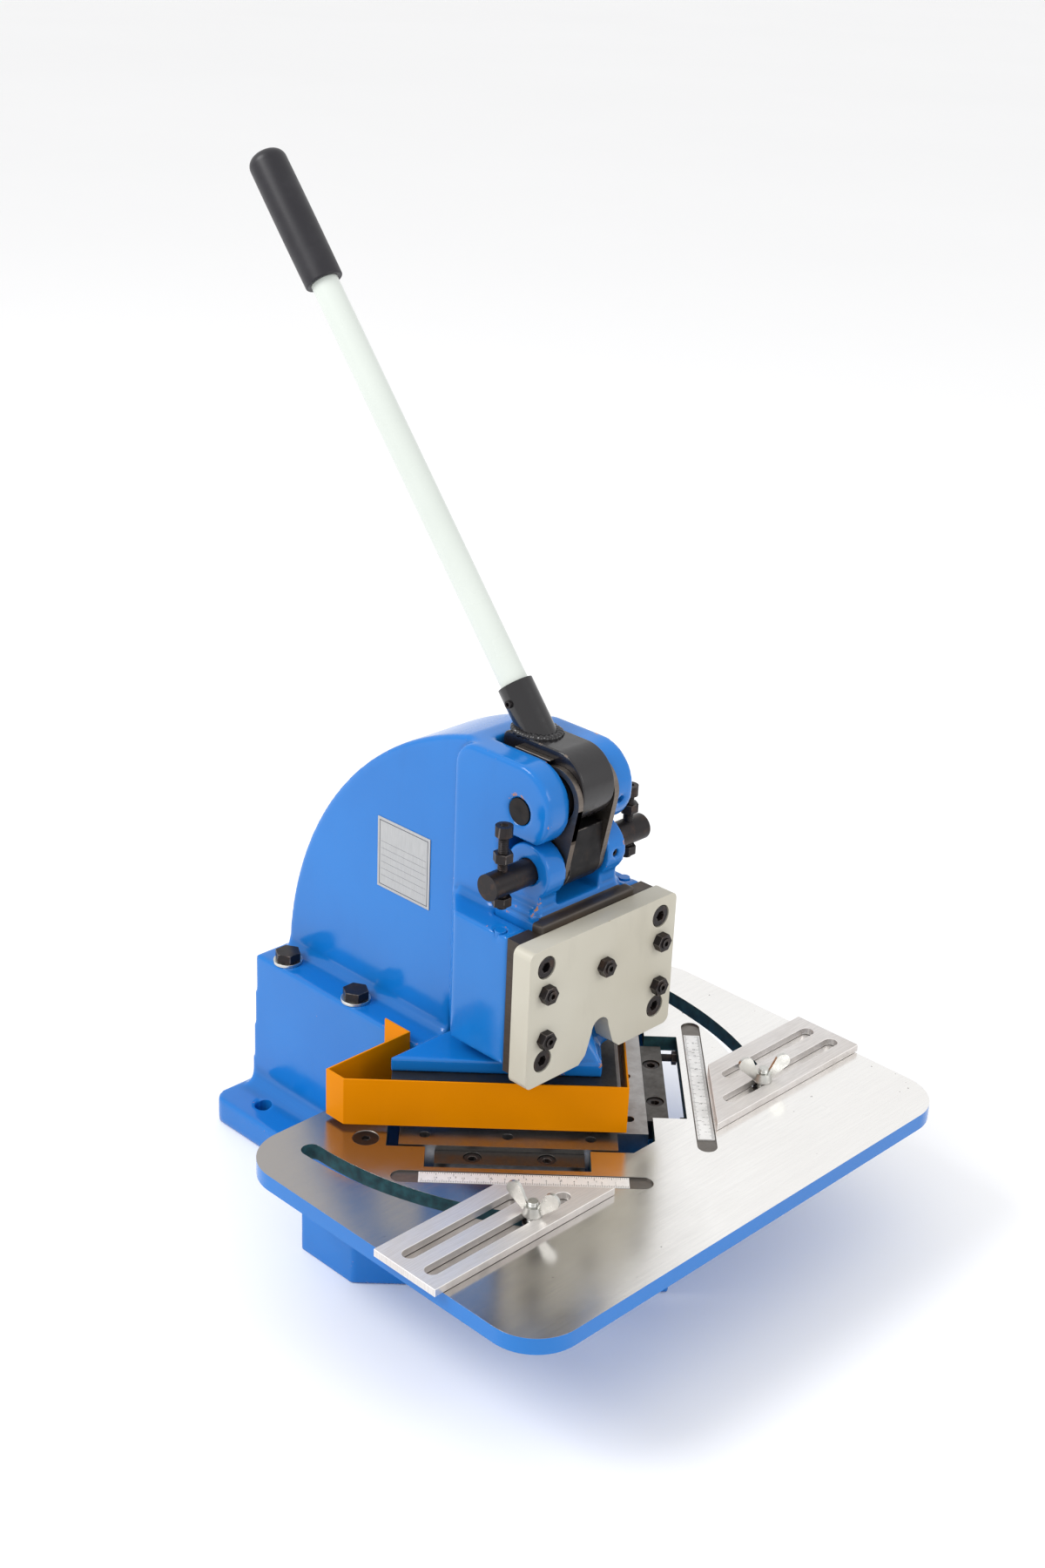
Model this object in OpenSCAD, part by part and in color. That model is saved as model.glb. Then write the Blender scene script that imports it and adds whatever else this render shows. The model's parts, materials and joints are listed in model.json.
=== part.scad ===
// Hand-operated corner notcher for sheet metal, in millimetres.
// The origin is the centre of the four foot bolt holes on the underside, +Z is up, and the operator stands on
// the -Y side. The working parts are laid out in the corner frame: x = 0 is the plane of symmetry, y = 0 is
// just in front of the cutting corner and z = 0 is the top of the table.

/* [Table] */
// Width of the table
table_w = 460; // [450:1:480]
// Distance from the corner frame's origin to the table's front edge
table_front = 131.6; // [125:0.1:140]
// Distance from the corner frame's origin to the table's back edge
table_back = 176; // [174:0.5:180]
// Thickness of the table
table_t = 13; // [12.5:0.1:13.5]
// Radius of the table's corners
table_corner_r = 38; // [30:1:40]
// Height of the table's top above the ground
table_h = 114; // [112:1:120]
// Width of the arc slots for the fences
arc_slot_w = 15; // [15:0.1:16]
// Mean radius of the arc slots
arc_slot_r = 292.7; // [291:0.1:294]

/* [Base] */
// Half width of the base column and of the frame's ledge
column_half_w = 66; // [65:0.5:67]
// Half width of the foot flange
foot_half_w = 105.5; // [103:0.5:110]
// Thickness of the foot flange
foot_t = 24; // [20:1:28]
// Radius of the foot bolt holes
foot_hole_r = 7; // [6:0.1:7.5]
// Spacing of the foot bolt holes across the machine
foot_spacing_x = 169; // [168:1:172]
// Spacing of the foot bolt holes from front to back
foot_spacing_y = 95; // [90:1:100]

/* [Frame] */
// Half thickness of the curved web
web_half_t = 35; // [33:0.5:36]
// Radius of the web's back edge
web_r = 274.9; // [274:0.1:276]
// Half width of the head
head_half_w = 44.5; // [44:0.1:45]
// Height of the head's top above the table
head_top = 287; // [286.8:0.1:288]
// Half width of the guide box
box_half_w = 71; // [71:0.5:73]
// Half width of the slot between the head's ears
ear_slot_half_w = 22.3; // [22.2:0.1:22.6]

/* [Lever] */
// Radius of the shaft's end journals
journal_r = 10; // [9:0.1:10.5]
// Radius of the eccentric shoulders
shoulder_r = 17; // [16.8:0.1:17.1]
// Radius of the hub's drum
drum_r = 27.8; // [27:0.1:27.9]
// Angle that the handle leans back at rest
handle_lean = 39.9; // [39:0.1:41]
// Radius of the handle tube
tube_r = 10.65; // [10:0.05:10.65]
// Length of the grip
grip_len = 110; // [100:1:115]
// Radius of the grip
grip_r = 15; // [14:0.1:16]

/* [Ram] */
// Half width of the ram
ram_half_w = 49.85; // [49.7:0.01:49.85]
// Radius of the cross pin
ram_pin_r = 10; // [9:0.1:10]
// Half length of the cross pin
ram_pin_half_len = 81; // [78:0.5:83]

/* [Blades] */
// Width of a lower blade
lower_blade_w = 25.4; // [25:0.1:25.6]
// Width of an upper blade
upper_blade_w = 25.3; // [25:0.1:25.6]
// Length of the blades along the cut
blade_len = 169; // [165:0.5:172]
// Gap between the upper and the lower blades' shearing faces
shear_gap = 0.2; // [0.15:0.01:0.3]

/* [Fences] */
// Length of a fence along its front edge
fence_len = 175.7; // [172:0.1:178]
// Width of a fence
fence_w = 61; // [60:0.5:62]
// Thickness of a fence
fence_t = 6; // [5:0.5:6]
// Width of the slots in a fence
fence_slot_w = 11; // [10:0.1:11.5]

/* [Guard] */
// Thickness of the guard's sheet
guard_t = 1.5; // [1:0.1:1.8]
// Height of the guard's lower edge above the table
guard_z = 3.5; // [3:0.1:4]
// Height of the guard's sheet
guard_h = 38.9; // [36:0.1:40]

/* [Hidden] */
$fn = 64;

LEFT = -1;
RIGHT = 1;
SIDES = [LEFT, RIGHT];
through = 1;            // how far a cutting tool runs past the face that it opens
fit_gap = 0.05;         // radial clearance round a pin, screw or shaft

ground = -table_h;
foot_centre_y = 277.5;  // from the corner frame's origin to the row's origin
foot_front_y = 190;
foot_back_y = 366;

// Opening in the table and seat in the base, as offsets from the lines that run from the corner at 45 degrees
chute_offset = -9;
chute_back_y = 150;
pocket_offset = 21.9;
pocket_end = 178;
bar_pocket = [27, 149];
bar_pocket_offset = 48;
pocket_front_y = -19;
pocket_apex_y = 13;             // where the two pockets' front walls meet
pocket_nose = [18, 12];         // how far the nose spreads back along x and y
seat_z = -22;

column_top = 8;
column_gap = 0.3;               // between the column and the table
column_back_y = [364.5, 357];   // at the ground and at the top
cavity = [76, 145, 79];         // open from below
cavity_front_y = 200;
pedestal_half_w = 168;
pedestal_offset = 37;
pedestal_side_y = 115.7;

frame_bolt_x = 54;
frame_bolt_y = [244.5, 329];
frame_bolt_d = 12;
frame_bolt_head = [19, 7.5];    // width across flats and height
frame_bolt_len = 58;
frame_bolt_bore = 34;           // depth of its hole in the base
frame_bolt_clearance = 0.75;
washer = [12, 2.5];             // radius and thickness
ledge_top = 33;
ledge_y = [156, 357];

web_centre = [77.1, 21.1];      // y and z
web_front_y = 131;
web_back_y = 360;
data_plate_low = [181.8, 131];  // y and z
data_plate_high = [241, 190.5];
data_plate_t = 0.8;
throat_z = 61;
box_y = [62, 118, 147];         // front, start of the taper and back
box_top = 167;
channel_half_w = 50;
channel_back_y = 98;
column_front_y = 100;
nose_centre = [84, 255];
nose_r = 32;
head_back_r = 20;
head_back_y = 149;
ear_bottom = 230;
ear_slot_back_y = 131;
pivot = [82, 251.3];
pivot_screw_x = 33;
pivot_screw_z = 248;

plate_y = [31.7, 49];
plate_half_w = 78;
plate_z = [56, 167.5];
plate_corner_r = 6;
plate_screw_x = 61;
plate_screw_z = [75.3, 152];
cover_screw_bore_y = 92;
gib_screw_places = [[-61, 94], [61, 94], [-61, 131.5], [61, 131.5], [0, 132]];
gib_screw_y = [24, 49];
gib_bottom = 58;
plate_counterbore = [9, 10.5];
notch_r = 9;
notch_z = 79;
notch_side = [[13.5, 66], [15, 62], [22, 56]];

ram_y = [49.3, 97.7];
ram_z = [50, 173.5];
ram_pin = [74.5, 205.5];
ram_ear_r = 21.5;
ram_ear_x = [22.3, 41];
ram_top = 178;
ram_top_y = [60, 96];           // of the low step between the ears and the slide
ram_ear_front_y = 61;
slide_corner_offset = 3;        // how far the slide's lower front corners stand back from the cut
slide_corner_top = 61.5;
foot_z = [38.5, 50];
foot_apex_y = 27.3;
foot_tip = [112, 139];
wedge = [45, 29, 6, 73];        // half width, front y, half width at the top and top z
ram_pin_screw_z = 205.5;
ram_pin_screw_x = 31;
stop_x = 66;
stop_top = [250, 243.5];        // left and right screw
stop_tip = 185;
stop_head = 8;
stop_nut_z = [222, 187.5];
pad = [4.5, 160, 167.3];        // radius, bottom and top

eccentricity = 14.5;
throw_angle = 37;
eccentric = pivot + eccentricity * [-cos(throw_angle), sin(throw_angle)];
hub_half_w = 16;
link_x = [16.3, 21.1];
shoulder_x = [16, 21.6];
hub_core_r = 14;
drum_centre = [73.4, 265.6];
hub_back_y = 128;
hub_under_z = 263;
hub_corner_r = 6;
link_hole_gap = 1.75;           // clearance at the opened pivot
link_eye = [68.96, 260];
link_rim = 4.55;
link_foot_r = 18;
block_r = 19;
block_top = 235.5;
cheek_y = [76, 111];
cheek_z = [262, 286.5];
cheek_clear_r = 26.2;

socket_top = [133.8, 322.4];
socket_r = 13.5;
socket_len = 60;
socket_bore_depth = 22;
socket_screw_down = 13;
tube_len = 332.7;               // from the socket's mouth to the grip
grip_bore_len = 105;

blade_start = 6;
mitre_gap = 0.1;                // between each blade and the plane of symmetry
lower_blade_z = [-22, -1.2];
lower_blade_offset = -7.8;
upper_blade_z = [15.5, 38.5];
upper_blade_start = 7;
blade_screw_u = [26.2, 88.1, 150];
blade_screw_offset = 3.8;
blade_screw_seat_z = -48;       // the heads sit here, in bores from below
blade_screw_bore_r = 8;
seat_bore_z = -42;              // bottom of the screw holes in the base
upper_screw_u = [55, 105, 150];
upper_screw_offset = -25.7;
upper_screw_seat_z = 22.5;      // the heads sit here, in counterbores from below
bar_u = [31, 142];
bar_offset = [18, 35];
bar_top = -5.4;
bar_screw_u = [59, 114];
bar_screw_offset = 25.9;
bar_counterbore = [6.9, 9];     // radius and depth
push_bolt_u = [37, 136];
push_bolt_z = -12;
push_bolt_head = [10, 4];       // width across flats and height
push_bolt_bore = 9;             // depth of its hole in the bar

rule = [152.4, 13, 1.2];
rule_offset = 60.5;
rule_recess = [-10, 167, 7.5, 1.4]; // start, end, radius and depth

table_screw = [145.5, 127.9];
countersink = [5, 10.3, 5.6];   // lower radius, upper radius and depth
arc_centre = [-107, 145];       // of the right slot
arc_slot_angles = [-37.5, -0.5];

guard_offset = 0.5;             // how far the guard's face stands outside the 45 degree line
guard_side_x = 149.5;
guard_back_y = 168.6;
guard_end_y = 195;
guard_screw_y = [178, 188];
guard_screw_z = 20;

fence_z = 0.3;
// Distance from the fence's front edge, first centre and last centre of each slot
fence_slots = [[17.3, 13.7, 140.1], [40.7, 14.7, 113.7]];
fence_corner = [[-237.7, -46], [232.6, -41.2]];           // outer front corner of each fence
stud_angle = [36.4, 35.2];      // how far round its arc each stud stands
stud_r = 4;
stud_z = [-19, 17];
stud_head = [13, 3.3];          // width across flats and height
slot_nut_neck_r = 7.2;
slot_nut_flange_r = 12;
slot_nut_bottom = -18.8;
slot_nut_gap = 0.3;             // under the table
wing_nut_z = 6.5;
wing_hub = [7.5, 6, 7];         // lower radius, upper radius and height
wing_t = 2.6;
wing_tip = [15, 22, 6];         // x, z and radius
wing_web = [[3, 8], [7, 7.5], [19.5, 18], [10, 25.5], [4, 13]];
wing_turn = [75, -30];          // left and right

// Places its children from the corner frame in the row's frame
module corner_frame() {
    translate([0, -foot_centre_y, table_h]) children();
}

// Mirrors a child that is drawn for the right side
module on_side(side) {
    mirror([side == LEFT ? 1 : 0, 0, 0]) children();
}

// Blade frame: x runs back along the cut, y is the offset outwards from the 45 degree line
module leg(side) {
    on_side(side) rotate([0, 0, 45]) mirror([0, 1, 0]) children();
}

// Extrudes an outline drawn in y and z across the machine
module across(half_w) {
    rotate([90, 0, 90]) linear_extrude(2 * half_w, center = true) children();
}

module across_between(x_range) {
    translate([x_range[0], 0, 0])
        rotate([90, 0, 90]) linear_extrude(x_range[1] - x_range[0]) children();
}

// Extrudes an outline drawn in x and z from y_range[0] to y_range[1]
module towards_back(y_range) {
    translate([0, y_range[1], 0])
        rotate([90, 0, 0]) linear_extrude(y_range[1] - y_range[0]) children();
}

module x_rod(x_range, place, r) {
    translate([x_range[0], place[0], place[1]])
        rotate([0, 90, 0]) cylinder(h = x_range[1] - x_range[0], r = r);
}

module y_rod(y_range, place, r) {
    translate([place[0], y_range[0], place[1]])
        rotate([-90, 0, 0]) cylinder(h = y_range[1] - y_range[0], r = r);
}

module z_rod(z_range, place, r) {
    translate([place[0], place[1], z_range[0]])
        cylinder(h = z_range[1] - z_range[0], r = r);
}

module block(low, high) {
    translate(low) cube(high - low);
}

module round_slot(length, r, height) {
    cylinder(h = height, r = r);
    translate([length, 0, 0]) cylinder(h = height, r = r);
    translate([0, -r, 0]) cube([length, 2 * r, height]);
}

// Corner points of the straight flanks that touch two circles
function flanks(c1, r1, c2, r2) =
    let (d = c2 - c1, a = atan2(d[1], d[0]), b = acos((r1 - r2) / norm(d)))
    [for (p = [[c1, r1, b], [c2, r2, b], [c2, r2, -b], [c1, r1, -b]])
        p[0] + p[1] * [cos(a + p[2]), sin(a + p[2])]];

module link_outline(c1, r1, c2, r2) {
    translate(c1) circle(r1);
    translate(c2) circle(r2);
    polygon(flanks(c1, r1, c2, r2));
}

// Hexagonal prism by its width across flats
module hex(flats, height) {
    cylinder(h = height, r = flats / sqrt(3), $fn = 6);
}

// Socket head screw that points down, with its head standing on z = 0
module cap_screw(d, length) {
    head_r = (1.5 * d + 1) / 2;
    difference() {
        union() {
            cylinder(h = d, r = head_r);
            translate([0, 0, -length]) cylinder(h = length + through, r = d / 2);
        }
        translate([0, 0, d / 2]) hex(0.75 * d, d);
    }
}

// Headless screw between two heights, with a hex socket in its upper end
module set_screw(d, length) {
    difference() {
        cylinder(h = length, r = d / 2);
        translate([0, 0, length - d / 2]) hex(d / 2, d);
    }
}

module hex_nut(flats, height, bore_r) {
    difference() {
        hex(flats, height);
        translate([0, 0, -through]) cylinder(h = height + 2 * through, r = bore_r);
    }
}

// Blade and bar opening, between two heights
module pocket(z_range, outer) {
    height = z_range[1] - z_range[0];
    inner = chute_offset - through;
    for (side = SIDES) leg(side) translate([0, inner, z_range[0]]) {
        cube([pocket_end, pocket_offset - inner, height]);
        translate([bar_pocket[0], 0, 0]) cube([bar_pocket[1] - bar_pocket[0], outer - inner, height]);
    }
    apex_x = pocket_offset * sqrt(2) + pocket_front_y;
    translate([0, 0, z_range[0]]) linear_extrude(height)
        polygon([[0, pocket_apex_y], [-apex_x - pocket_nose[0], apex_x - pocket_nose[1]],
            [-apex_x, pocket_front_y], [apex_x, pocket_front_y],
            [apex_x + pocket_nose[0], apex_x - pocket_nose[1]]]);
}

// Triangular way down for the cut-out corners
module chute(z_range) {
    apex_y = -chute_offset * sqrt(2);
    half_w = chute_back_y - apex_y;
    translate([0, 0, z_range[0]]) linear_extrude(z_range[1] - z_range[0])
        polygon([[0, apex_y], [half_w, chute_back_y], [-half_w, chute_back_y]]);
}

module pedestal_outline() {
    apex_y = -pedestal_offset * sqrt(2);
    polygon([[0, apex_y], [pedestal_half_w, pedestal_side_y], [pedestal_half_w, table_back],
        [-pedestal_half_w, table_back], [-pedestal_half_w, pedestal_side_y]]);
}

module foot_flange() {
    corner_r = 11;
    for (x = [-1, 1], y = [foot_front_y + corner_r, foot_back_y - corner_r])
        translate([x * (foot_half_w - corner_r), y, ground]) cylinder(h = foot_t, r = corner_r);
    block([-foot_half_w, foot_front_y + corner_r, ground],
        [foot_half_w, foot_back_y - corner_r, ground + foot_t]);
    block([corner_r - foot_half_w, foot_front_y, ground],
        [foot_half_w - corner_r, foot_back_y, ground + foot_t]);
}

module base() {
    color("royalblue") corner_frame() difference() {
        union() {
            foot_flange();
            across(column_half_w) polygon([[chute_back_y, ground], [column_back_y[0], ground],
                [column_back_y[1], column_top], [chute_back_y, column_top]]);
            translate([0, 0, ground]) linear_extrude(table_h - table_t) pedestal_outline();
        }
        chute([ground - through, column_top]);
        pocket([seat_z, 0], bar_pocket_offset + pocket_nose[1]);
        translate([-cavity[0] / 2, cavity_front_y, ground - through]) cube(cavity + [0, 0, through]);
        for (x = [-1, 1] * foot_spacing_x / 2, y = [-1, 1] * foot_spacing_y / 2)
            z_rod([ground - through, ground + foot_t + through], [x, foot_centre_y + y], foot_hole_r);
        for (x = [-1, 1] * frame_bolt_x, y = frame_bolt_y)
            z_rod([column_top - frame_bolt_bore, column_top + through], [x, y], frame_bolt_d / 2 + fit_gap);
        for (side = SIDES) leg(side) {
            for (u = blade_screw_u) {
                z_rod([ground - through, blade_screw_seat_z], [u, blade_screw_offset], blade_screw_bore_r);
                z_rod([blade_screw_seat_z - through, 0], [u, blade_screw_offset], 4 + fit_gap);
            }
            for (u = bar_screw_u) z_rod([seat_bore_z, 0], [u, bar_screw_offset], 4 + fit_gap);
        }
        for (side = SIDES) on_side(side) z_rod([seat_bore_z, 0], table_screw, 5 + fit_gap);
    }
}

module head_outline() {
    difference() {
        union() {
            translate(nose_centre) circle(nose_r);
            translate([nose_centre[0], ear_bottom])
                square([head_back_y - head_back_r - nose_centre[0], head_top - ear_bottom]);
            translate([head_back_y - head_back_r, head_top - head_back_r]) circle(head_back_r);
            translate([nose_centre[0], ear_bottom])
                square([head_back_y - nose_centre[0], head_top - head_back_r - ear_bottom]);
            translate([column_front_y, throat_z])
                square([head_back_y - column_front_y, ear_bottom - throat_z + 1]);
        }
        square([column_front_y, ear_bottom]);
    }
}

module guide_box() {
    translate([0, 0, throat_z]) linear_extrude(box_top - throat_z)
        polygon([[-box_half_w, box_y[0]], [box_half_w, box_y[0]], [box_half_w, box_y[1]],
            [head_half_w, box_y[2]], [-head_half_w, box_y[2]], [-box_half_w, box_y[1]]]);
}

module web() {
    intersection() {
        x_rod([-web_half_t, web_half_t], web_centre, web_r);
        union() {
            block([-web_half_t, web_front_y, throat_z], [web_half_t, web_back_y, head_top]);
            block([-web_half_t, ledge_y[0], ledge_top - 1], [web_half_t, web_back_y, throat_z + 1]);
        }
    }
}

module upper_frame() {
    color("royalblue") corner_frame() difference() {
        union() {
            block([-column_half_w, ledge_y[0], column_top], [column_half_w, ledge_y[1], ledge_top]);
            web();
            across(head_half_w) head_outline();
            guide_box();
        }
        block([-channel_half_w, box_y[0] - through, throat_z - through],
            [channel_half_w, channel_back_y, box_top + through]);
        block([-ear_slot_half_w, 0, ear_bottom - through],
            [ear_slot_half_w, ear_slot_back_y, head_top + through]);
        x_rod([-head_half_w - through, head_half_w + through], pivot, journal_r + fit_gap);
        for (x = [-1, 1] * frame_bolt_x, y = frame_bolt_y)
            z_rod([0, ledge_top + through], [x, y], frame_bolt_d / 2 + frame_bolt_clearance);
        for (x = [-1, 1] * plate_screw_x, z = plate_screw_z)
            y_rod([box_y[0] - through, cover_screw_bore_y], [x, z], 5 + fit_gap);
        for (x = [-1, 1] * stop_x) z_rod([pad[1], box_top + through], [x, ram_pin[0]], pad[0]);
        y_rod([0, pivot[0]], [pivot_screw_x, pivot_screw_z], 3 + fit_gap);
        for (side = SIDES) on_side(side) for (y = guard_screw_y)
            x_rod([column_half_w - 16, column_half_w + through], [y, guard_screw_z], 3 + fit_gap);
    }
}

module frame_bolts() {
    color("dimgray") corner_frame() for (x = [-1, 1] * frame_bolt_x, y = frame_bolt_y)
        translate([x, y, ledge_top + washer[1]]) {
            hex(frame_bolt_head[0], frame_bolt_head[1]);
            translate([0, 0, -frame_bolt_len]) cylinder(h = frame_bolt_len, r = frame_bolt_d / 2);
        }
}

module frame_washers() {
    color("silver") corner_frame() for (x = [-1, 1] * frame_bolt_x, y = frame_bolt_y)
        translate([x, y, ledge_top]) difference() {
            cylinder(h = washer[1], r = washer[0]);
            translate([0, 0, -through]) cylinder(h = washer[1] + 2 * through, r = frame_bolt_d / 2 + 0.5);
        }
}

module data_plate() {
    color("lightgray") corner_frame()
        block([-web_half_t - data_plate_t, data_plate_low[0], data_plate_low[1]],
            [-web_half_t, data_plate_high[0], data_plate_high[1]]);
}

module cover_outline() {
    inner = [plate_half_w - plate_corner_r, plate_z[1] - plate_corner_r];
    difference() {
        union() {
            for (x = [-1, 1], z = [plate_z[0] + plate_corner_r, inner[1]])
                translate([x * inner[0], z]) circle(plate_corner_r);
            translate([-plate_half_w, plate_z[0] + plate_corner_r])
                square([2 * plate_half_w, inner[1] - plate_z[0] - plate_corner_r]);
            translate([-inner[0], plate_z[0]]) square([2 * inner[0], plate_z[1] - plate_z[0]]);
        }
        translate([0, notch_z]) circle(notch_r);
        for (side = SIDES) scale([side, 1])
            polygon(concat([[0, notch_z], [notch_r, notch_z]], notch_side,
                [[notch_side[2][0], 0], [0, 0]]));
    }
}

module cover_plate() {
    color("ivory") corner_frame() difference() {
        towards_back(plate_y) cover_outline();
        for (x = [-1, 1] * plate_screw_x, z = plate_screw_z) {
            y_rod([0, plate_y[0] + plate_counterbore[1]], [x, z], plate_counterbore[0]);
            y_rod([0, plate_y[1] + through], [x, z], 5 + fit_gap);
        }
        for (p = gib_screw_places) y_rod([0, plate_y[1] + through], p, 4 + fit_gap);
    }
}

module cover_screws() {
    color("dimgray") corner_frame() for (x = [-1, 1] * plate_screw_x, z = plate_screw_z)
        translate([x, plate_y[0] + plate_counterbore[1], z]) rotate([90, 0, 0]) cap_screw(10, 48);
}

module gib_strip() {
    color("dimgray") difference() {
        block([channel_half_w, plate_y[1], gib_bottom], [box_half_w, box_y[0], box_top]);
        for (z = plate_screw_z) y_rod([plate_y[1] - through, box_y[0] + through], [plate_screw_x, z], 5.5);
    }
}

module left_gib_strip() { corner_frame() on_side(LEFT) gib_strip(); }
module right_gib_strip() { corner_frame() gib_strip(); }

module gib_screws() {
    color("dimgray") corner_frame() for (p = gib_screw_places)
        translate([p[0], gib_screw_y[1], p[1]]) rotate([90, 0, 0])
            set_screw(8, gib_screw_y[1] - gib_screw_y[0]);
}

module gib_lock_nuts() {
    color("dimgray") corner_frame() for (p = gib_screw_places)
        translate([p[0], plate_y[0], p[1]]) rotate([90, 0, 0]) hex_nut(13, 6.5, 4 + fit_gap);
}

module pivot_screw() {
    color("dimgray") corner_frame()
        translate([pivot_screw_x, pivot[0] - journal_r - 0.9, pivot_screw_z])
            rotate([90, 0, 0]) set_screw(6, 12);
}

module stop_pads() {
    color("silver") corner_frame() for (x = [-1, 1] * stop_x)
        z_rod([pad[1], pad[2]], [x, ram_pin[0]], pad[0] - fit_gap);
}

// Right half of the guard's bent sheet, from its front corner round to its flange and back inside
function guard_half() =
    let (side = guard_side_x, back = guard_back_y, flange = column_half_w, t = guard_t,
        outer = guard_offset * sqrt(2), inner = (guard_t - guard_offset) * sqrt(2))
    [[0, -outer], [side, side - outer], [side, back], [flange + t, back], [flange + t, guard_end_y],
        [flange, guard_end_y], [flange, back - t], [side - t, back - t], [side - t, side - t + inner], [0, inner]];

module guard() {
    right = guard_half();
    last = len(right) - 1;
    left = [for (i = [last - 1 : -1 : 1]) [-right[i][0], right[i][1]]];
    color("orange") corner_frame() difference() {
        translate([0, 0, guard_z]) linear_extrude(guard_h) polygon(concat(right, left));
        for (side = SIDES) on_side(side) for (y = guard_screw_y)
            x_rod([column_half_w - through, column_half_w + 5], [y, guard_screw_z], 3.3);
    }
}

module guard_screws() {
    color("dimgray") corner_frame() for (side = SIDES) on_side(side) for (y = guard_screw_y)
        translate([column_half_w + guard_t, y, guard_screw_z]) rotate([0, 90, 0]) cap_screw(6, 14);
}

module eccentric_shaft() {
    color("dimgray") corner_frame() {
        x_rod([-shoulder_x[0] - 1, shoulder_x[0] + 1], eccentric, hub_core_r);
        for (side = SIDES) on_side(side) {
            x_rod(shoulder_x, eccentric, shoulder_r);
            x_rod([shoulder_x[1] - 0.4, head_half_w - 0.5], pivot, journal_r);
        }
    }
}

module hub_outline() {
    top = drum_centre[1] + drum_r;
    difference() {
        union() {
            translate(drum_centre) circle(drum_r);
            translate([drum_centre[0], hub_under_z]) square([hub_back_y - hub_corner_r - drum_centre[0],
                top - hub_under_z]);
            translate([drum_centre[0], hub_under_z]) square([hub_back_y - drum_centre[0],
                top - hub_under_z - hub_corner_r]);
            translate([hub_back_y - hub_corner_r, top - hub_corner_r]) circle(hub_corner_r);
        }
        translate(eccentric) circle(hub_core_r + fit_gap);
    }
}

module lever_hub() {
    color("black") corner_frame() across(hub_half_w) hub_outline();
}

module lever_cheek() {
    color("gray") across_between([hub_half_w, link_x[1]]) difference() {
        translate([cheek_y[0], cheek_z[0]]) square([cheek_y[1] - cheek_y[0], cheek_z[1] - cheek_z[0]]);
        translate(eccentric) circle(cheek_clear_r);
    }
}

module left_lever_cheek() { corner_frame() on_side(LEFT) lever_cheek(); }
module right_lever_cheek() { corner_frame() lever_cheek(); }

// Handle frame: the origin is the centre of the socket's mouth and z runs up the tube
module handle_frame() {
    translate([0, socket_top[0], socket_top[1]]) rotate([-handle_lean, 0, 0]) children();
}

module handle_socket() {
    color("black") corner_frame() difference() {
        handle_frame() translate([0, 0, -socket_len]) cylinder(h = socket_len, r = socket_r);
        handle_frame() z_rod([-socket_bore_depth, through], [0, 0], tube_r + 0.1);
        handle_frame() x_rod([-socket_r - through, 0], [0, -socket_screw_down], 3 + fit_gap);
        block([-2 * socket_r, 0, 0], [2 * socket_r, socket_top[0] + socket_len, drum_centre[1] + drum_r]);
    }
}

module socket_screw() {
    color("dimgray") corner_frame() handle_frame()
        translate([-tube_r - 0.05, 0, -socket_screw_down]) rotate([0, -90, 0]) set_screw(6, 5);
}

module handle_tube() {
    color("white") corner_frame() handle_frame() difference() {
        z_rod([1 - socket_bore_depth, tube_len + grip_bore_len - 1], [0, 0], tube_r);
        z_rod([-socket_bore_depth, tube_len + grip_bore_len], [0, 0], tube_r - 2.6);
    }
}

module hand_grip() {
    color("black") corner_frame() handle_frame() difference() {
        union() {
            z_rod([tube_len, tube_len + grip_len - 6], [0, 0], grip_r);
            translate([0, 0, tube_len + grip_len - 6]) cylinder(h = 6, r1 = grip_r, r2 = grip_r - 5);
        }
        z_rod([tube_len - through, tube_len + grip_bore_len], [0, 0], tube_r + fit_gap);
    }
}

module foot_plate() {
    translate([0, 0, foot_z[0]]) linear_extrude(foot_z[1] - foot_z[0])
        polygon([[0, foot_apex_y], foot_tip, [foot_tip[0] - 1, foot_tip[1] + 1],
            [1 - foot_tip[0], foot_tip[1] + 1], [-foot_tip[0], foot_tip[1]]]);
}

// Wedge that carries the foot's front corner on the slide
module foot_wedge() {
    hull() {
        translate([0, 0, foot_z[1] - 1]) linear_extrude(1)
            polygon([[0, wedge[1]], [wedge[0], wedge[0] + wedge[1]], [wedge[0], ram_y[1]],
                [-wedge[0], ram_y[1]], [-wedge[0], wedge[0] + wedge[1]]]);
        block([-wedge[2], ram_y[0], wedge[3] - 1], [wedge[2], ram_y[1], wedge[3]]);
    }
}

module ram_body() {
    color("royalblue") corner_frame() difference() {
        union() {
            block([-ram_half_w, ram_y[0], foot_z[1] - 1], [ram_half_w, ram_y[1], ram_z[1]]);
            foot_plate();
            foot_wedge();
            for (side = SIDES) on_side(side) {
                x_rod(ram_ear_x, ram_pin, ram_ear_r);
                block([ram_ear_x[0], ram_ear_front_y, ram_z[1] - 1],
                    [ram_ear_x[1], ram_pin[0] + ram_ear_r, ram_pin[1]]);
            }
            block([-ram_ear_x[1], ram_top_y[0], ram_z[1] - 1], [ram_ear_x[1], ram_top_y[1], ram_top]);
        }
        x_rod([-ram_half_w, ram_half_w], ram_pin, ram_pin_r + fit_gap);
        y_rod([0, ram_pin[0]], [ram_pin_screw_x, ram_pin_screw_z], 3 + fit_gap);
        for (side = SIDES) leg(side) {
            for (u = upper_screw_u)
                z_rod([foot_z[0] - through, foot_z[1] - 2], [u, upper_screw_offset], 3 + fit_gap);
            // keeps the slide's front corner off the guard at the bottom of the stroke
            block([0, -slide_corner_offset, foot_z[1] - 2],
                [2 * ram_half_w, slide_corner_offset, slide_corner_top]);
        }
    }
}

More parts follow.
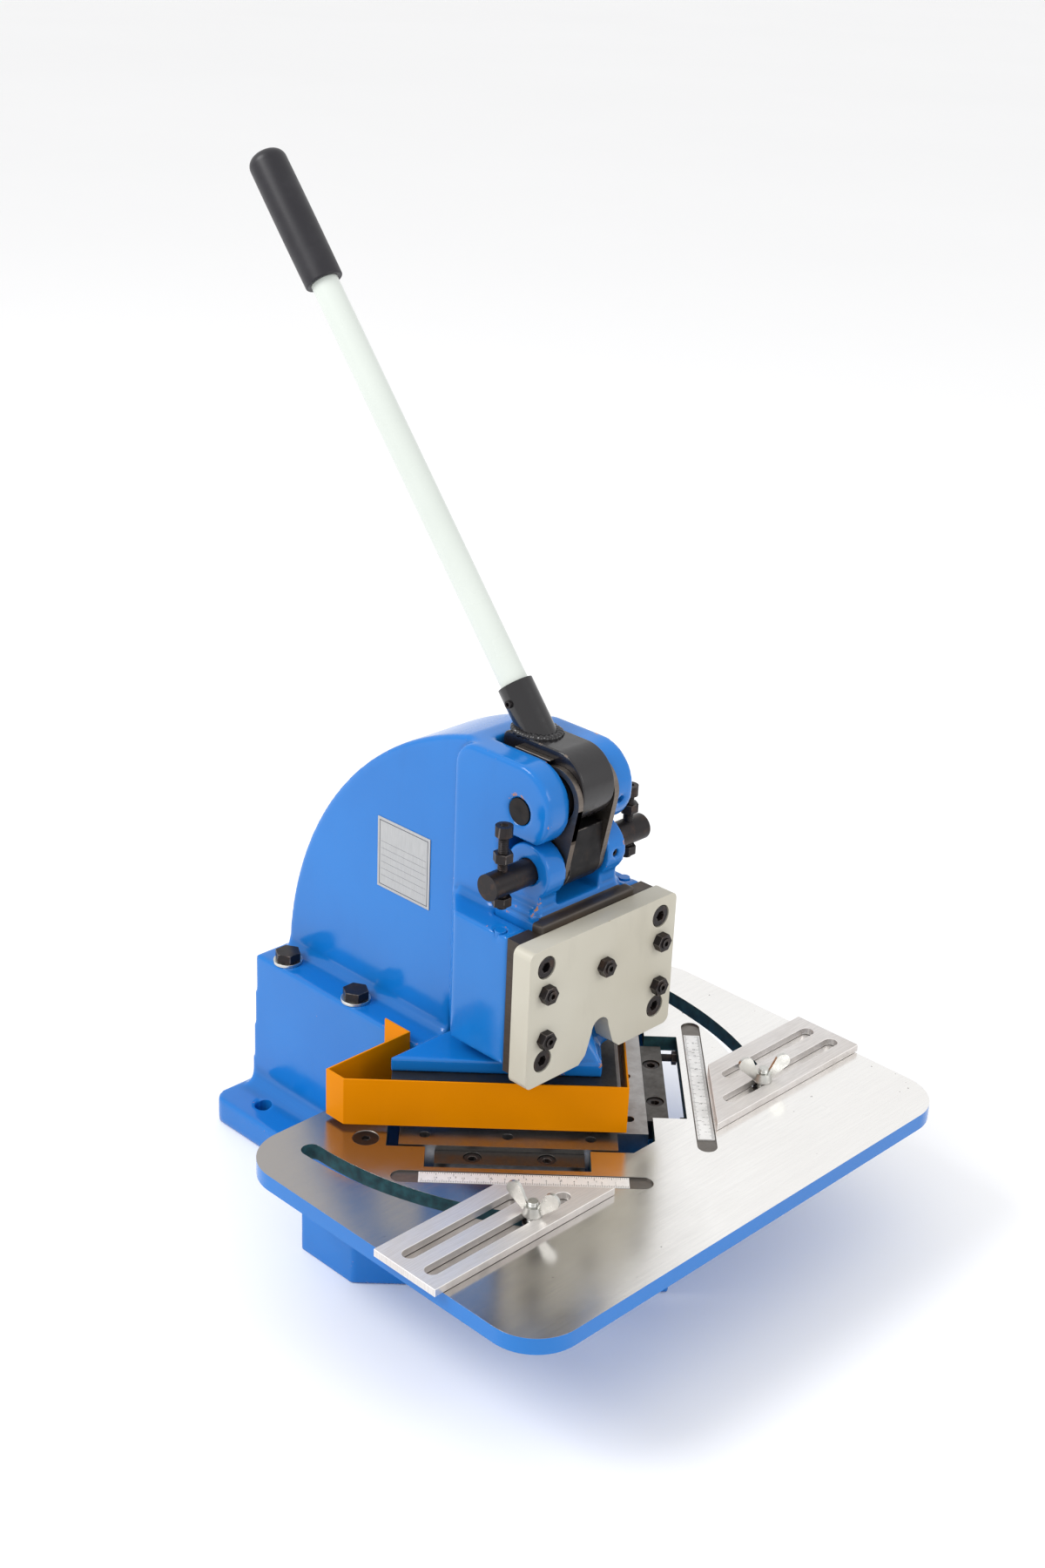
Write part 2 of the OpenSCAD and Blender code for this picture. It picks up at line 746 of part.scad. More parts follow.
module ram_pin_rod() {
    color("dimgray") corner_frame() difference() {
        x_rod([-ram_pin_half_len, ram_pin_half_len], ram_pin, ram_pin_r);
        for (x = [-1, 1] * stop_x)
            z_rod([ram_pin[1] - 1.5 * ram_pin_r, ram_pin[1] + 1.5 * ram_pin_r], [x, ram_pin[0]], 4 + fit_gap);
    }
}

module ram_pin_screw() {
    color("dimgray") corner_frame()
        translate([ram_pin_screw_x, ram_pin[0] - ram_pin_r, ram_pin_screw_z])
            rotate([90, 0, 0]) set_screw(6, 9);
}

module link_plate() {
    hole_r = shoulder_r + link_hole_gap;
    color("gray") across_between(link_x) difference() {
        link_outline(link_eye, hole_r + link_rim, ram_pin, link_foot_r);
        translate(link_eye) circle(hole_r);
        translate(ram_pin) circle(ram_pin_r + fit_gap);
    }
}

module left_link_plate() { corner_frame() on_side(LEFT) link_plate(); }
module right_link_plate() { corner_frame() link_plate(); }

module link_block() {
    color("black") corner_frame() across(link_x[0]) difference() {
        union() {
            translate(ram_pin) circle(block_r);
            translate([ram_pin[0] - block_r, ram_pin[1]]) square([2 * block_r, block_top - ram_pin[1]]);
        }
        translate(ram_pin) circle(ram_pin_r + fit_gap);
    }
}

module stop_screws() {
    color("dimgray") corner_frame() for (i = [0, 1])
        translate([SIDES[i] * stop_x, ram_pin[0], stop_top[i] - stop_head])
            cap_screw(8, stop_top[i] - stop_head - stop_tip);
}

module stop_nuts() {
    color("dimgray") corner_frame() for (side = SIDES, z = stop_nut_z)
        translate([side * stop_x, ram_pin[0], z]) hex_nut(13, 7, 4 + fit_gap);
}

module upper_blade() {
    outer = lower_blade_offset - shear_gap;
    color("silver") difference() {
        leg(RIGHT) difference() {
            block([upper_blade_start, outer - upper_blade_w, upper_blade_z[0]],
                [upper_blade_start + blade_len, outer, upper_blade_z[1]]);
            for (u = upper_screw_u) {
                z_rod([0, upper_screw_seat_z], [u, upper_screw_offset], 5.4);
                z_rod([0, foot_z[1]], [u, upper_screw_offset], 3 + fit_gap);
            }
        }
        block([-through - upper_blade_w, 0, 0], [mitre_gap, 2 * upper_blade_w, foot_z[1]]);
    }
}

module left_upper_blade() { corner_frame() on_side(LEFT) upper_blade(); }
module right_upper_blade() { corner_frame() upper_blade(); }

module upper_blade_screws() {
    color("dimgray") corner_frame() for (side = SIDES) leg(side) for (u = upper_screw_u)
        translate([u, upper_screw_offset, upper_screw_seat_z]) mirror([0, 0, 1]) cap_screw(6, 25);
}

module table() {
    color("lightsteelblue") corner_frame() difference() {
        union() {
            for (x = [-1, 1] * (table_w / 2 - table_corner_r), y = [table_corner_r - table_front,
                table_back - table_corner_r]) z_rod([-table_t, 0], [x, y], table_corner_r);
            block([-table_w / 2, table_corner_r - table_front, -table_t],
                [table_w / 2, table_back - table_corner_r, 0]);
            block([table_corner_r - table_w / 2, -table_front, -table_t],
                [table_w / 2 - table_corner_r, table_back, 0]);
        }
        pocket([-table_t - through, through], bar_pocket_offset);
        chute([-table_t - through, through]);
        block([-column_half_w - column_gap, chute_back_y - 1, -table_t - through],
            [column_half_w + column_gap, table_back + through, through]);
        for (side = SIDES) {
            leg(side) translate([rule_recess[0], rule_offset, -rule_recess[3]])
                round_slot(rule_recess[1] - rule_recess[0] - 2, rule_recess[2], rule_recess[3] + through);
            on_side(side) {
                z_rod([-table_t - through, 0], table_screw, 5.5);
                translate([table_screw[0], table_screw[1], -countersink[2]])
                    cylinder(h = countersink[2] + 0.1, r1 = countersink[0], r2 = countersink[1]);
                translate(arc_centre) arc_slot();
            }
        }
    }
}

module arc_slot() {
    height = table_t + 2 * through;
    rotate([0, 0, arc_slot_angles[0]])
        rotate_extrude(angle = arc_slot_angles[1] - arc_slot_angles[0], $fn = 180)
            translate([arc_slot_r - arc_slot_w / 2, -table_t - through]) square([arc_slot_w, height]);
    for (a = arc_slot_angles) rotate([0, 0, a])
        translate([arc_slot_r, 0, -table_t - through]) cylinder(h = height, r = arc_slot_w / 2);
}

module table_screws() {
    color("dimgray") corner_frame() for (side = SIDES) on_side(side)
        translate([table_screw[0], table_screw[1], -countersink[2]]) difference() {
            union() {
                cylinder(h = countersink[2] - 0.4, r1 = countersink[0], r2 = countersink[1] - 0.5);
                translate([0, 0, -34]) cylinder(h = 35, r = 5);
            }
            translate([0, 0, 2]) hex(6, 5);
        }
}

module scale_rule() {
    color("silver") leg(RIGHT) translate([0, rule_offset - rule[1] / 2, -rule_recess[3]]) cube(rule);
}

module left_rule() { corner_frame() on_side(LEFT) scale_rule(); }
module right_rule() { corner_frame() scale_rule(); }

module lower_blade() {
    color("silver") difference() {
        leg(RIGHT) difference() {
            block([blade_start, lower_blade_offset, lower_blade_z[0]],
                [blade_len, lower_blade_offset + lower_blade_w, lower_blade_z[1]]);
            for (u = blade_screw_u) z_rod([seat_z - through, 0], [u, blade_screw_offset], 4 + fit_gap);
        }
        block([-through - lower_blade_w, 0, seat_z - through], [mitre_gap, 2 * lower_blade_w, through]);
    }
}

module left_lower_blade() { corner_frame() on_side(LEFT) lower_blade(); }
module right_lower_blade() { corner_frame() lower_blade(); }

module lower_blade_screws() {
    color("dimgray") corner_frame() for (side = SIDES) leg(side) for (u = blade_screw_u)
        translate([u, blade_screw_offset, blade_screw_seat_z]) mirror([0, 0, 1]) cap_screw(8, 42);
}

module support_bar() {
    color("silver") leg(RIGHT) difference() {
        block([bar_u[0], bar_offset[0], seat_z], [bar_u[1], bar_offset[1], bar_top]);
        for (u = bar_screw_u) {
            z_rod([bar_top - bar_counterbore[1], 0], [u, bar_screw_offset], bar_counterbore[0]);
            z_rod([seat_z - through, 0], [u, bar_screw_offset], 4 + fit_gap);
        }
        for (u = push_bolt_u)
            y_rod([bar_offset[1] - push_bolt_bore, bar_offset[1] + through], [u, push_bolt_z], 3 + fit_gap);
    }
}

module left_support_bar() { corner_frame() on_side(LEFT) support_bar(); }
module right_support_bar() { corner_frame() support_bar(); }

module bar_screws() {
    color("dimgray") corner_frame() for (side = SIDES) leg(side) for (u = bar_screw_u)
        translate([u, bar_screw_offset, bar_top - bar_counterbore[1]]) cap_screw(8, 26);
}

module push_bolts() {
    color("dimgray") corner_frame() for (side = SIDES) leg(side) for (u = push_bolt_u)
        translate([u, bar_pocket_offset - push_bolt_head[1], push_bolt_z]) rotate([90, 0, 0]) {
            cylinder(h = bar_pocket_offset - bar_offset[1] + 4, r = 3);
            translate([0, 0, -push_bolt_head[1]]) hex(push_bolt_head[0], push_bolt_head[1]);
        }
}

// Fence drawn with its outer front corner at the origin, for the left side
module fence_plate() {
    color("silver") translate([0, 0, fence_z]) difference() {
        linear_extrude(fence_t)
            polygon([[0, 0], [fence_len, 0], [fence_len - fence_w, fence_w], [0, fence_w]]);
        for (s = fence_slots) translate([s[1], s[0], -through])
            round_slot(s[2] - s[1], fence_slot_w / 2, fence_t + 2 * through);
    }
}

module left_fence() { corner_frame() translate(fence_corner[0]) fence_plate(); }
module right_fence() { corner_frame() translate(fence_corner[1]) mirror([1, 0, 0]) fence_plate(); }

// Puts its children where the stud of a side stands in its arc slot
module at_stud(i) {
    on_side(SIDES[i]) translate(arc_centre) rotate([0, 0, -stud_angle[i]]) translate([arc_slot_r, 0, 0])
        rotate([0, 0, stud_angle[i]]) children();
}

module stud() {
    color("silver") {
        z_rod(stud_z, [0, 0], stud_r);
        translate([0, 0, stud_z[0] - stud_head[1]]) hex(stud_head[0], stud_head[1] + 0.1);
    }
}

module left_stud() { corner_frame() at_stud(0) stud(); }
module right_stud() { corner_frame() at_stud(1) stud(); }

module slot_nut() {
    color("dimgray") difference() {
        union() {
            z_rod([slot_nut_bottom, -table_t - slot_nut_gap], [0, 0], slot_nut_flange_r);
            z_rod([-table_t - 2 * slot_nut_gap, -slot_nut_gap], [0, 0], slot_nut_neck_r);
        }
        z_rod([slot_nut_bottom - through, through], [0, 0], stud_r + fit_gap);
    }
}

module left_slot_nut() { corner_frame() at_stud(0) slot_nut(); }
module right_slot_nut() { corner_frame() at_stud(1) slot_nut(); }

module wing_nut(turn) {
    color("silver") rotate([0, 0, turn]) difference() {
        union() {
            translate([0, 0, wing_nut_z]) cylinder(h = wing_hub[2], r1 = wing_hub[0], r2 = wing_hub[1]);
            for (side = SIDES) on_side(side)
                translate([0, wing_t / 2, 0]) rotate([90, 0, 0]) linear_extrude(wing_t) {
                    translate([wing_tip[0], wing_tip[1]]) circle(wing_tip[2]);
                    polygon(wing_web);
                }
        }
        z_rod([0, 40], [0, 0], stud_r + fit_gap);
    }
}

module left_wing_nut() { corner_frame() at_stud(0) wing_nut(wing_turn[0]); }
module right_wing_nut() { corner_frame() at_stud(1) wing_nut(wing_turn[1]); }

base();
upper_frame();
frame_bolts();
frame_washers();
data_plate();
cover_plate();
cover_screws();
left_gib_strip();
right_gib_strip();
gib_screws();
gib_lock_nuts();
pivot_screw();
stop_pads();
guard();
guard_screws();
eccentric_shaft();
lever_hub();
left_lever_cheek();
right_lever_cheek();
handle_socket();
socket_screw();
handle_tube();
hand_grip();
ram_body();
ram_pin_rod();  // ram_pin
ram_pin_screw();
left_link_plate();
right_link_plate();
link_block();
stop_screws();
stop_nuts();
left_upper_blade();
right_upper_blade();
upper_blade_screws();
table();
table_screws();
left_rule();
right_rule();
left_lower_blade();
right_lower_blade();
lower_blade_screws();
left_support_bar();
right_support_bar();
bar_screws();
push_bolts();
left_fence();
right_fence();
left_stud();
right_stud();
left_wing_nut();
right_wing_nut();
left_slot_nut();
right_slot_nut();
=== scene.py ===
"""Looks of a hand-operated corner notcher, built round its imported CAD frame. Metres, +Z up."""
import json
import math

import bmesh
import bpy
import numpy as np
from mathutils import Matrix, Vector

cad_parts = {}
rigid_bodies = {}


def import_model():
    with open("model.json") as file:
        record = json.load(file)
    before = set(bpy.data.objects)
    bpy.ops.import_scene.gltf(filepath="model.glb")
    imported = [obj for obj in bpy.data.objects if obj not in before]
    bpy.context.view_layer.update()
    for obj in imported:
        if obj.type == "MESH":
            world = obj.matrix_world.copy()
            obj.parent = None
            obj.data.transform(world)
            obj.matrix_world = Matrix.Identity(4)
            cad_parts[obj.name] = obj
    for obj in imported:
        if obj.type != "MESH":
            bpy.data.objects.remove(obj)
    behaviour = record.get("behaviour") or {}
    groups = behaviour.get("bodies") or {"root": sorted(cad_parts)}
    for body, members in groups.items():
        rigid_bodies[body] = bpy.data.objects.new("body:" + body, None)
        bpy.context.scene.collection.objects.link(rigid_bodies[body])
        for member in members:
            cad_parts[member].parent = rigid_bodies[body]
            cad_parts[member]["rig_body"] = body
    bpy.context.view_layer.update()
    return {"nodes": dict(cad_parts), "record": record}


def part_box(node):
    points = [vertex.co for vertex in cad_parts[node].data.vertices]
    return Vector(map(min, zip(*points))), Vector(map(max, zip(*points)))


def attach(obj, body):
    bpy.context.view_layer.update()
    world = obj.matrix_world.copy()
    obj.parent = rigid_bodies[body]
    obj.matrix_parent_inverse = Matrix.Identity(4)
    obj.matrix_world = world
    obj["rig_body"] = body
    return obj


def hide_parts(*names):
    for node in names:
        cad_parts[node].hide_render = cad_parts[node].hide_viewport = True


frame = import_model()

MM = 0.001
NODES = frame["nodes"]
TABLE_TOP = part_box("table")[1].z
ORIGIN = Vector((0, -0.2775, TABLE_TOP))   # cutting corner of the blades, on the table's top
SIDES = {"left": -1, "right": 1}


def at(x, y, z):
    """A point given in millimetres from the cutting corner."""
    return ORIGIN + Vector((x, y, z)) * MM


def leg_matrix(side):
    """Blade frame: x along the cut, y outwards, z up, in metres from the cutting corner."""
    half = math.sqrt(0.5)
    s = SIDES[side]
    return Matrix((
        (s * half, s * half, 0, ORIGIN.x),
        (half, -half, 0, ORIGIN.y),
        (0, 0, 1, ORIGIN.z),
        (0, 0, 0, 1),
    ))


# ---------------------------------------------------------------- materials

class Nodes:
    """Short names for building a material's node tree."""

    def __init__(self, name):
        self.material = bpy.data.materials.new(name)
        self.material.use_nodes = True
        self.tree = self.material.node_tree
        self.shader = self.tree.nodes["Principled BSDF"]
        coordinates = self.tree.nodes.new("ShaderNodeTexCoord")
        self.place = coordinates.outputs["Object"]

    def add(self, kind, **inputs):
        node = self.tree.nodes.new("ShaderNode" + kind)
        for key, value in inputs.items():
            self.set(node.inputs[key.replace("_", " ")], value)
        return node

    def set(self, socket, value):
        if isinstance(value, bpy.types.NodeSocket):
            self.tree.links.new(value, socket)
        else:
            socket.default_value = value

    def noise(self, scale, detail=4.0, rough=0.55, stretch=None):
        node = self.add("TexNoise", Scale=scale, Detail=detail, Roughness=rough)
        place = self.place
        if stretch:
            place = self.add("Mapping", Vector=self.place, Scale=stretch).outputs[0]
        self.set(node.inputs["Vector"], place)
        return node.outputs["Fac"]

    def ramp(self, value, low, high, start=0.0, end=1.0):
        node = self.add("MapRange")
        node.clamp = True
        for index, item in enumerate((value, low, high, start, end)):
            self.set(node.inputs[index], item)
        return node.outputs[0]

    def math(self, operation, a, b):
        node = self.add("Math")
        node.operation = operation
        self.set(node.inputs[0], a)
        self.set(node.inputs[1], b)
        return node.outputs[0]

    def mix(self, amount, a, b):
        node = self.add("Mix")
        node.data_type = "RGBA"
        self.set(node.inputs["Factor"], amount)
        for socket, colour in ((node.inputs[6], a), (node.inputs[7], b)):
            self.set(socket, colour if isinstance(colour, bpy.types.NodeSocket) else (*colour, 1))
        return node.outputs[2]

    def attribute(self, name):
        node = self.add("Attribute")
        node.attribute_name = name
        return node.outputs["Fac"]

    def bump(self, height, strength, distance=0.0005):
        bump = self.add("Bump", Height=height, Strength=strength, Distance=distance)
        self.set(self.shader.inputs["Normal"], bump.outputs[0])

    def finish(self, **inputs):
        for key, value in inputs.items():
            socket = self.shader.inputs[key.replace("_", " ")]
            if isinstance(value, tuple):
                value = (*value, 1)
            self.set(socket, value)
        return self.material


def paint(name, colour, deep, chip, roughness, wear, streak_and_shade_strength, gloss, peel=0.1):
    """Brushed or sprayed enamel: slow colour drift, dark stain streaks, darkening in the hollows that is
    partly soiling and partly painted shade, chipped edges.
    """
    n = Nodes(name)
    drift = n.ramp(n.noise(6.0, 3.0), 0.35, 0.7)
    body = n.mix(drift, colour, deep)
    streak = n.ramp(n.noise(30.0, 6.0, 0.65, (1, 1, 0.25)), 0.55, 0.8)
    # Stain streaks, and a darkening of the hollows that is partly soiling and partly painted shade
    streaks_and_hollow_shade = n.math("MAXIMUM", n.math("MULTIPLY", streak, 0.25), n.attribute("hollow"))
    body = n.mix(n.math("MULTIPLY", streaks_and_hollow_shade, streak_and_shade_strength), body, tuple(c * 0.3 for c in deep))
    edge = n.math("MULTIPLY", n.attribute("edge"), n.ramp(n.noise(55.0, 7.0, 0.7), 0.585, 0.66))
    chips = n.ramp(n.math("MULTIPLY", edge, wear), 0.25, 0.4)
    body = n.mix(chips, body, chip)
    rough = n.ramp(n.noise(25.0), 0.3, 0.7, roughness * 0.8, roughness * 1.3)
    rough = n.math("ADD", rough, n.math("MULTIPLY", chips, 0.3))
    waves = n.math("ADD", n.math("MULTIPLY", n.noise(300.0, 2.0), 0.12), n.noise(22.0, 3.0))
    n.bump(waves, peel, 0.002)
    return n.finish(Base_Color=body, Roughness=rough, Specular_IOR_Level=gloss)


def steel(name, colour, deep, roughness, stretch, grain=90.0, stain=0.3, metallic=1.0, specks=0.2):
    """Ground or brushed steel with grain along one direction, faint stains and bright edges."""
    n = Nodes(name)
    lines = n.noise(grain, 6.0, 0.65, stretch)
    patch = n.ramp(n.noise(14.0, 6.0, 0.6), 0.4, 0.72)
    body = n.mix(n.ramp(lines, 0.35, 0.65), colour, tuple(0.82 * c for c in colour))
    body = n.mix(n.math("MULTIPLY", patch, stain), body, deep)
    dots = n.ramp(n.noise(300.0, 3.0, 0.6), 0.72, 0.78)
    body = n.mix(n.math("MULTIPLY", dots, specks), body, tuple(0.4 * c for c in deep))
    bright = tuple(min(1.0, 1.2 * c + 0.05) for c in colour)
    body = n.mix(n.math("MULTIPLY", n.attribute("edge"), 0.5), body, bright)
    rough = n.ramp(lines, 0.3, 0.7, roughness * 0.8, roughness * 1.25)
    rough = n.math("ADD", rough, n.math("MULTIPLY", patch, 0.08))
    n.bump(lines, 0.12, 0.0001)
    return n.finish(Base_Color=body, Roughness=rough, Metallic=metallic)


def oxide(name, colour, rust, roughness):
    """Oil-blackened steel: near black, brown in places, worn bright on its edges."""
    n = Nodes(name)
    patch = n.ramp(n.noise(120.0, 6.0, 0.6), 0.5, 0.75)
    body = n.mix(n.math("MULTIPLY", patch, 0.55), colour, rust)
    worn = n.math("MULTIPLY", n.attribute("edge"), n.ramp(n.noise(200.0), 0.42, 0.6))
    body = n.mix(n.math("MULTIPLY", worn, 0.5), body, (0.26, 0.23, 0.21))
    rough = n.ramp(n.noise(70.0), 0.3, 0.7, roughness * 0.8, roughness * 1.4)
    n.bump(n.noise(500.0, 3.0), 0.12, 0.0001)
    return n.finish(Base_Color=body, Roughness=rough, Metallic=0.6, Specular_IOR_Level=0.35)


def table_steel(name):
    """Bare ground plate: long fine grain, wiped smears, small pits and scratches, and a painted dark
    reflection that greys its left-hand part.
    """
    n = Nodes(name)
    grain = n.noise(30.0, 8.0, 0.7, (1.0, 22.0, 1.0))
    smear = n.ramp(n.noise(4.5, 5.0, 0.6, (1.0, 1.6, 1.0)), 0.36, 0.68)
    # Painted dark reflection: the plate greys towards its left-hand part, its border broken by the smears
    axes = n.add("SeparateXYZ", Vector=n.place)
    across = n.math("MULTIPLY", n.math("SUBTRACT", axes.outputs[0], axes.outputs[1]), 0.7)
    painted_dark_reflection = n.ramp(n.math("ADD", across, n.math("MULTIPLY", smear, 0.05)), 0.11, 0.27, 1.0, 0.0)
    body = n.mix(n.ramp(grain, 0.35, 0.65), (0.94, 0.93, 0.91), (0.88, 0.87, 0.855))
    body = n.mix(n.math("MULTIPLY", smear, 0.3), body, (0.82, 0.80, 0.78))
    body = n.mix(painted_dark_reflection, body, (0.38, 0.36, 0.345))
    pits = n.ramp(n.noise(210.0, 2.0, 0.5), 0.745, 0.765)
    body = n.mix(n.math("MULTIPLY", pits, 0.7), body, (0.16, 0.14, 0.13))
    scratch = n.ramp(n.noise(26.0, 3.0, 0.5, (14.0, 0.8, 1.0)), 0.735, 0.75)
    body = n.mix(n.math("MULTIPLY", scratch, 0.35), body, (0.45, 0.43, 0.42))
    rough = n.ramp(smear, 0.0, 1.0, 0.15, 0.24)
    rough = n.math("ADD", rough, n.ramp(grain, 0.3, 0.7, -0.02, 0.05))
    n.bump(grain, 0.06, 0.0001)
    return n.finish(Base_Color=body, Roughness=rough, Metallic=0.97)


def rubber(name):
    """Moulded grip: near-black rubber with a little dust."""
    n = Nodes(name)
    dust = n.ramp(n.noise(40.0, 6.0, 0.7), 0.45, 0.75)
    body = n.mix(n.math("MULTIPLY", dust, 0.4), (0.012, 0.011, 0.015), (0.032, 0.031, 0.036))
    n.bump(n.noise(700.0, 3.0), 0.3, 0.0001)
    rough = n.ramp(n.noise(18.0), 0.3, 0.7, 0.36, 0.5)
    return n.finish(Base_Color=body, Roughness=rough, Specular_IOR_Level=0.4)


def plain(name, colour, deep, roughness, scale=80.0):
    """A matt surface mottled between two colours: ink, or the paint inside a slot."""
    n = Nodes(name)
    body = n.mix(n.ramp(n.noise(scale, 5.0, 0.6), 0.35, 0.7), colour, deep)
    rough = n.ramp(n.noise(scale * 2), 0.3, 0.7, roughness * 0.85, roughness * 1.15)
    n.bump(n.noise(scale * 3), 0.15, 0.0002)
    return n.finish(Base_Color=body, Roughness=rough, Specular_IOR_Level=0.3)


# Linear colours, and how a grain is stretched along x, y and z
PRIMER = (0.42, 0.17, 0.05)
BLUE = (0.006, 0.166, 0.535)
BLUE_DEEP = (0.005, 0.142, 0.475)
GROUND = (1, 30, 1)
UPRIGHT = (1, 1, 12)
EVEN = (1, 1, 1)
LOOKS = {
    "blue_paint": paint("blue_enamel", BLUE, BLUE_DEEP, PRIMER,
                        roughness=0.15, wear=0.5, streak_and_shade_strength=0.3, gloss=0.4),
    "ivory_paint": paint("ivory_enamel", (0.56, 0.54, 0.465), (0.46, 0.43, 0.35), (0.33, 0.27, 0.18),
                         roughness=0.35, wear=0.6, streak_and_shade_strength=0.6, gloss=0.35),
    "orange_paint": paint("orange_enamel", (0.74, 0.245, 0.0), (0.66, 0.21, 0.0), (0.42, 0.13, 0.01),
                          roughness=0.30, wear=0.3, streak_and_shade_strength=0.2, gloss=0.05),
    "white_paint": paint("white_enamel", (0.61, 0.65, 0.61), (0.57, 0.61, 0.57), (0.4, 0.4, 0.38),
                         roughness=0.25, wear=0.2, streak_and_shade_strength=0.15, gloss=0.4),
    "black_paint": paint("black_enamel", (0.007, 0.0065, 0.008), (0.014, 0.012, 0.013), (0.12, 0.09, 0.07),
                         roughness=0.20, wear=0.4, streak_and_shade_strength=0.2, gloss=0.55, peel=0.3),
    "black_oxide": oxide("black_oxide", (0.022, 0.019, 0.020), (0.085, 0.045, 0.028), 0.36),
    "zinc": steel("zinc_plate", (0.66, 0.66, 0.63), (0.42, 0.40, 0.36), 0.27, EVEN, grain=160.0),
    "ground_steel": steel("ground_steel", (0.78, 0.75, 0.73), (0.56, 0.50, 0.45), 0.42, GROUND,
                          grain=55.0, stain=0.35, metallic=0.8),
    "bare_steel": steel("bare_steel", (0.20, 0.175, 0.155), (0.09, 0.06, 0.045), 0.40, UPRIGHT, stain=0.6),
    "table_steel": table_steel("table_plate"),
    "rule_steel": steel("rule_steel", (0.90, 0.90, 0.89), (0.78, 0.78, 0.76), 0.42, EVEN,
                        grain=60.0, stain=0.2, metallic=0.55),
    "plate_metal": steel("plate_foil", (0.46, 0.465, 0.47), (0.40, 0.405, 0.41), 0.42, GROUND,
                         grain=80.0, stain=0.2, metallic=0.4),
    "grip_rubber": rubber("grip_rubber"),
}
SLOT_WALL = plain("slot_wall_paint", (0.006, 0.030, 0.040), (0.02, 0.085, 0.10), 0.75, scale=150.0)
INK = plain("scale_ink", (0.01, 0.01, 0.012), (0.03, 0.03, 0.03), 0.5)
PLATE_INK = plain("plate_border", (0.03, 0.03, 0.05), (0.06, 0.06, 0.08), 0.45)
RECESS = steel("recess_floor", (0.22, 0.205, 0.19), (0.11, 0.09, 0.075), 0.38, EVEN, stain=0.5)
BRIGHT_BLADE = steel("blade_steel", (0.38, 0.37, 0.365), (0.18, 0.155, 0.14), 0.34, EVEN,
                     grain=120.0, stain=0.35)
DARK_BAR = steel("bar_steel", (0.11, 0.105, 0.10), (0.05, 0.042, 0.036), 0.44, EVEN,
                 grain=160.0, stain=0.5, specks=0.4)
GREASY = steel("greasy_steel", (0.045, 0.036, 0.030), (0.11, 0.07, 0.045), 0.42, UPRIGHT,
               grain=80.0, stain=0.5, metallic=0.5)
# Darker black iron for the link block and eccentric shaft: their own black, and painted shade in the gap
# between the lever and the ram
BLACK_IRON_WITH_GAP_SHADE = oxide("black_iron_with_gap_shade", (0.012, 0.011, 0.012), (0.035, 0.024, 0.018), 0.45)
SLOT_OF = {s["node"]: s["material_slot"] for s in frame["record"]["subparts"]}


# ---------------------------------------------------------------- mesh tools

def new_object(name, data):
    piece = bpy.data.objects.new(name, data)
    bpy.context.scene.collection.objects.link(piece)
    return piece


def object_from(name, bm):
    """An object with the built mesh, its normals outwards."""
    mesh = bpy.data.meshes.new(name)
    bmesh.ops.recalc_face_normals(bm, faces=bm.faces)
    bm.to_mesh(mesh)
    bm.free()
    return new_object(name, mesh)


def apply_modifiers(piece):
    """Makes the result of the modifiers the piece's own mesh."""
    graph = bpy.context.evaluated_depsgraph_get()
    mesh = bpy.data.meshes.new_from_object(piece.evaluated_get(graph))
    piece.modifiers.clear()
    old = piece.data
    piece.data = mesh
    bpy.data.meshes.remove(old)


def clean_copy(node):
    """The CAD node's mesh with its flat faces made whole again."""
    bm = bmesh.new()
    bm.from_mesh(NODES[node].data)
    bmesh.ops.remove_doubles(bm, verts=bm.verts, dist=2e-6)
    bmesh.ops.dissolve_limit(bm, angle_limit=math.radians(0.6), verts=bm.verts, edges=bm.edges)
    return bm


def smooth_shading(piece, angle=38):
    """Smooth faces with normals weighted by area, kept sharp above the angle in degrees."""
    mesh = piece.data
    mesh.shade_smooth()
    mesh.set_sharp_from_angle(angle=math.radians(angle))
    weighted = piece.modifiers.new("weighted", "WEIGHTED_NORMAL")
    weighted.keep_sharp = True


def bevel_sharp(bm, width, segments):
    """Rounds the sharp edges, and returns the new faces."""
    least = math.radians(28)
    sharp = [e for e in bm.edges if len(e.link_faces) == 2 and e.calc_face_angle(0) > least]
    result = bmesh.ops.bevel(bm, geom=sharp, offset=width, offset_type="OFFSET", segments=segments,
                             profile=0.5, affect="EDGES", clamp_overlap=True, loop_slide=True)
    return set(result["faces"])


def stand_for(piece, node):
    """Rides the piece on its node's body, and hides the node."""
    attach(piece, NODES[node]["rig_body"])
    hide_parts(node)
    return piece


def stand_on(piece, body):
    """Rides a piece that stands for no CAD node."""
    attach(piece, body)
    return piece


def dress(piece, node, sharp=38):
    """Gives a hand-built piece its node's finish and puts it in the node's place."""
    piece.data.materials.clear()
    piece.data.materials.append(LOOKS[SLOT_OF[node]])
    smooth_shading(piece, sharp)
    return stand_for(piece, node)


def soften(node, width, segments, material=None):
    """A machined piece: the CAD shape with its edges broken by width, in millimetres."""
    bm = clean_copy(node)
    broken = bevel_sharp(bm, width * MM, segments)
    edge = np.array([f in broken for f in bm.faces], np.float32)
    piece = object_from(node + "_piece", bm)
    mesh = piece.data
    mesh.attributes.new("edge", "FLOAT", "FACE").data.foreach_set("value", edge)
    mesh.materials.clear()
    mesh.materials.append(material or LOOKS[SLOT_OF[node]])
    smooth_shading(piece)
    return stand_for(piece, node)


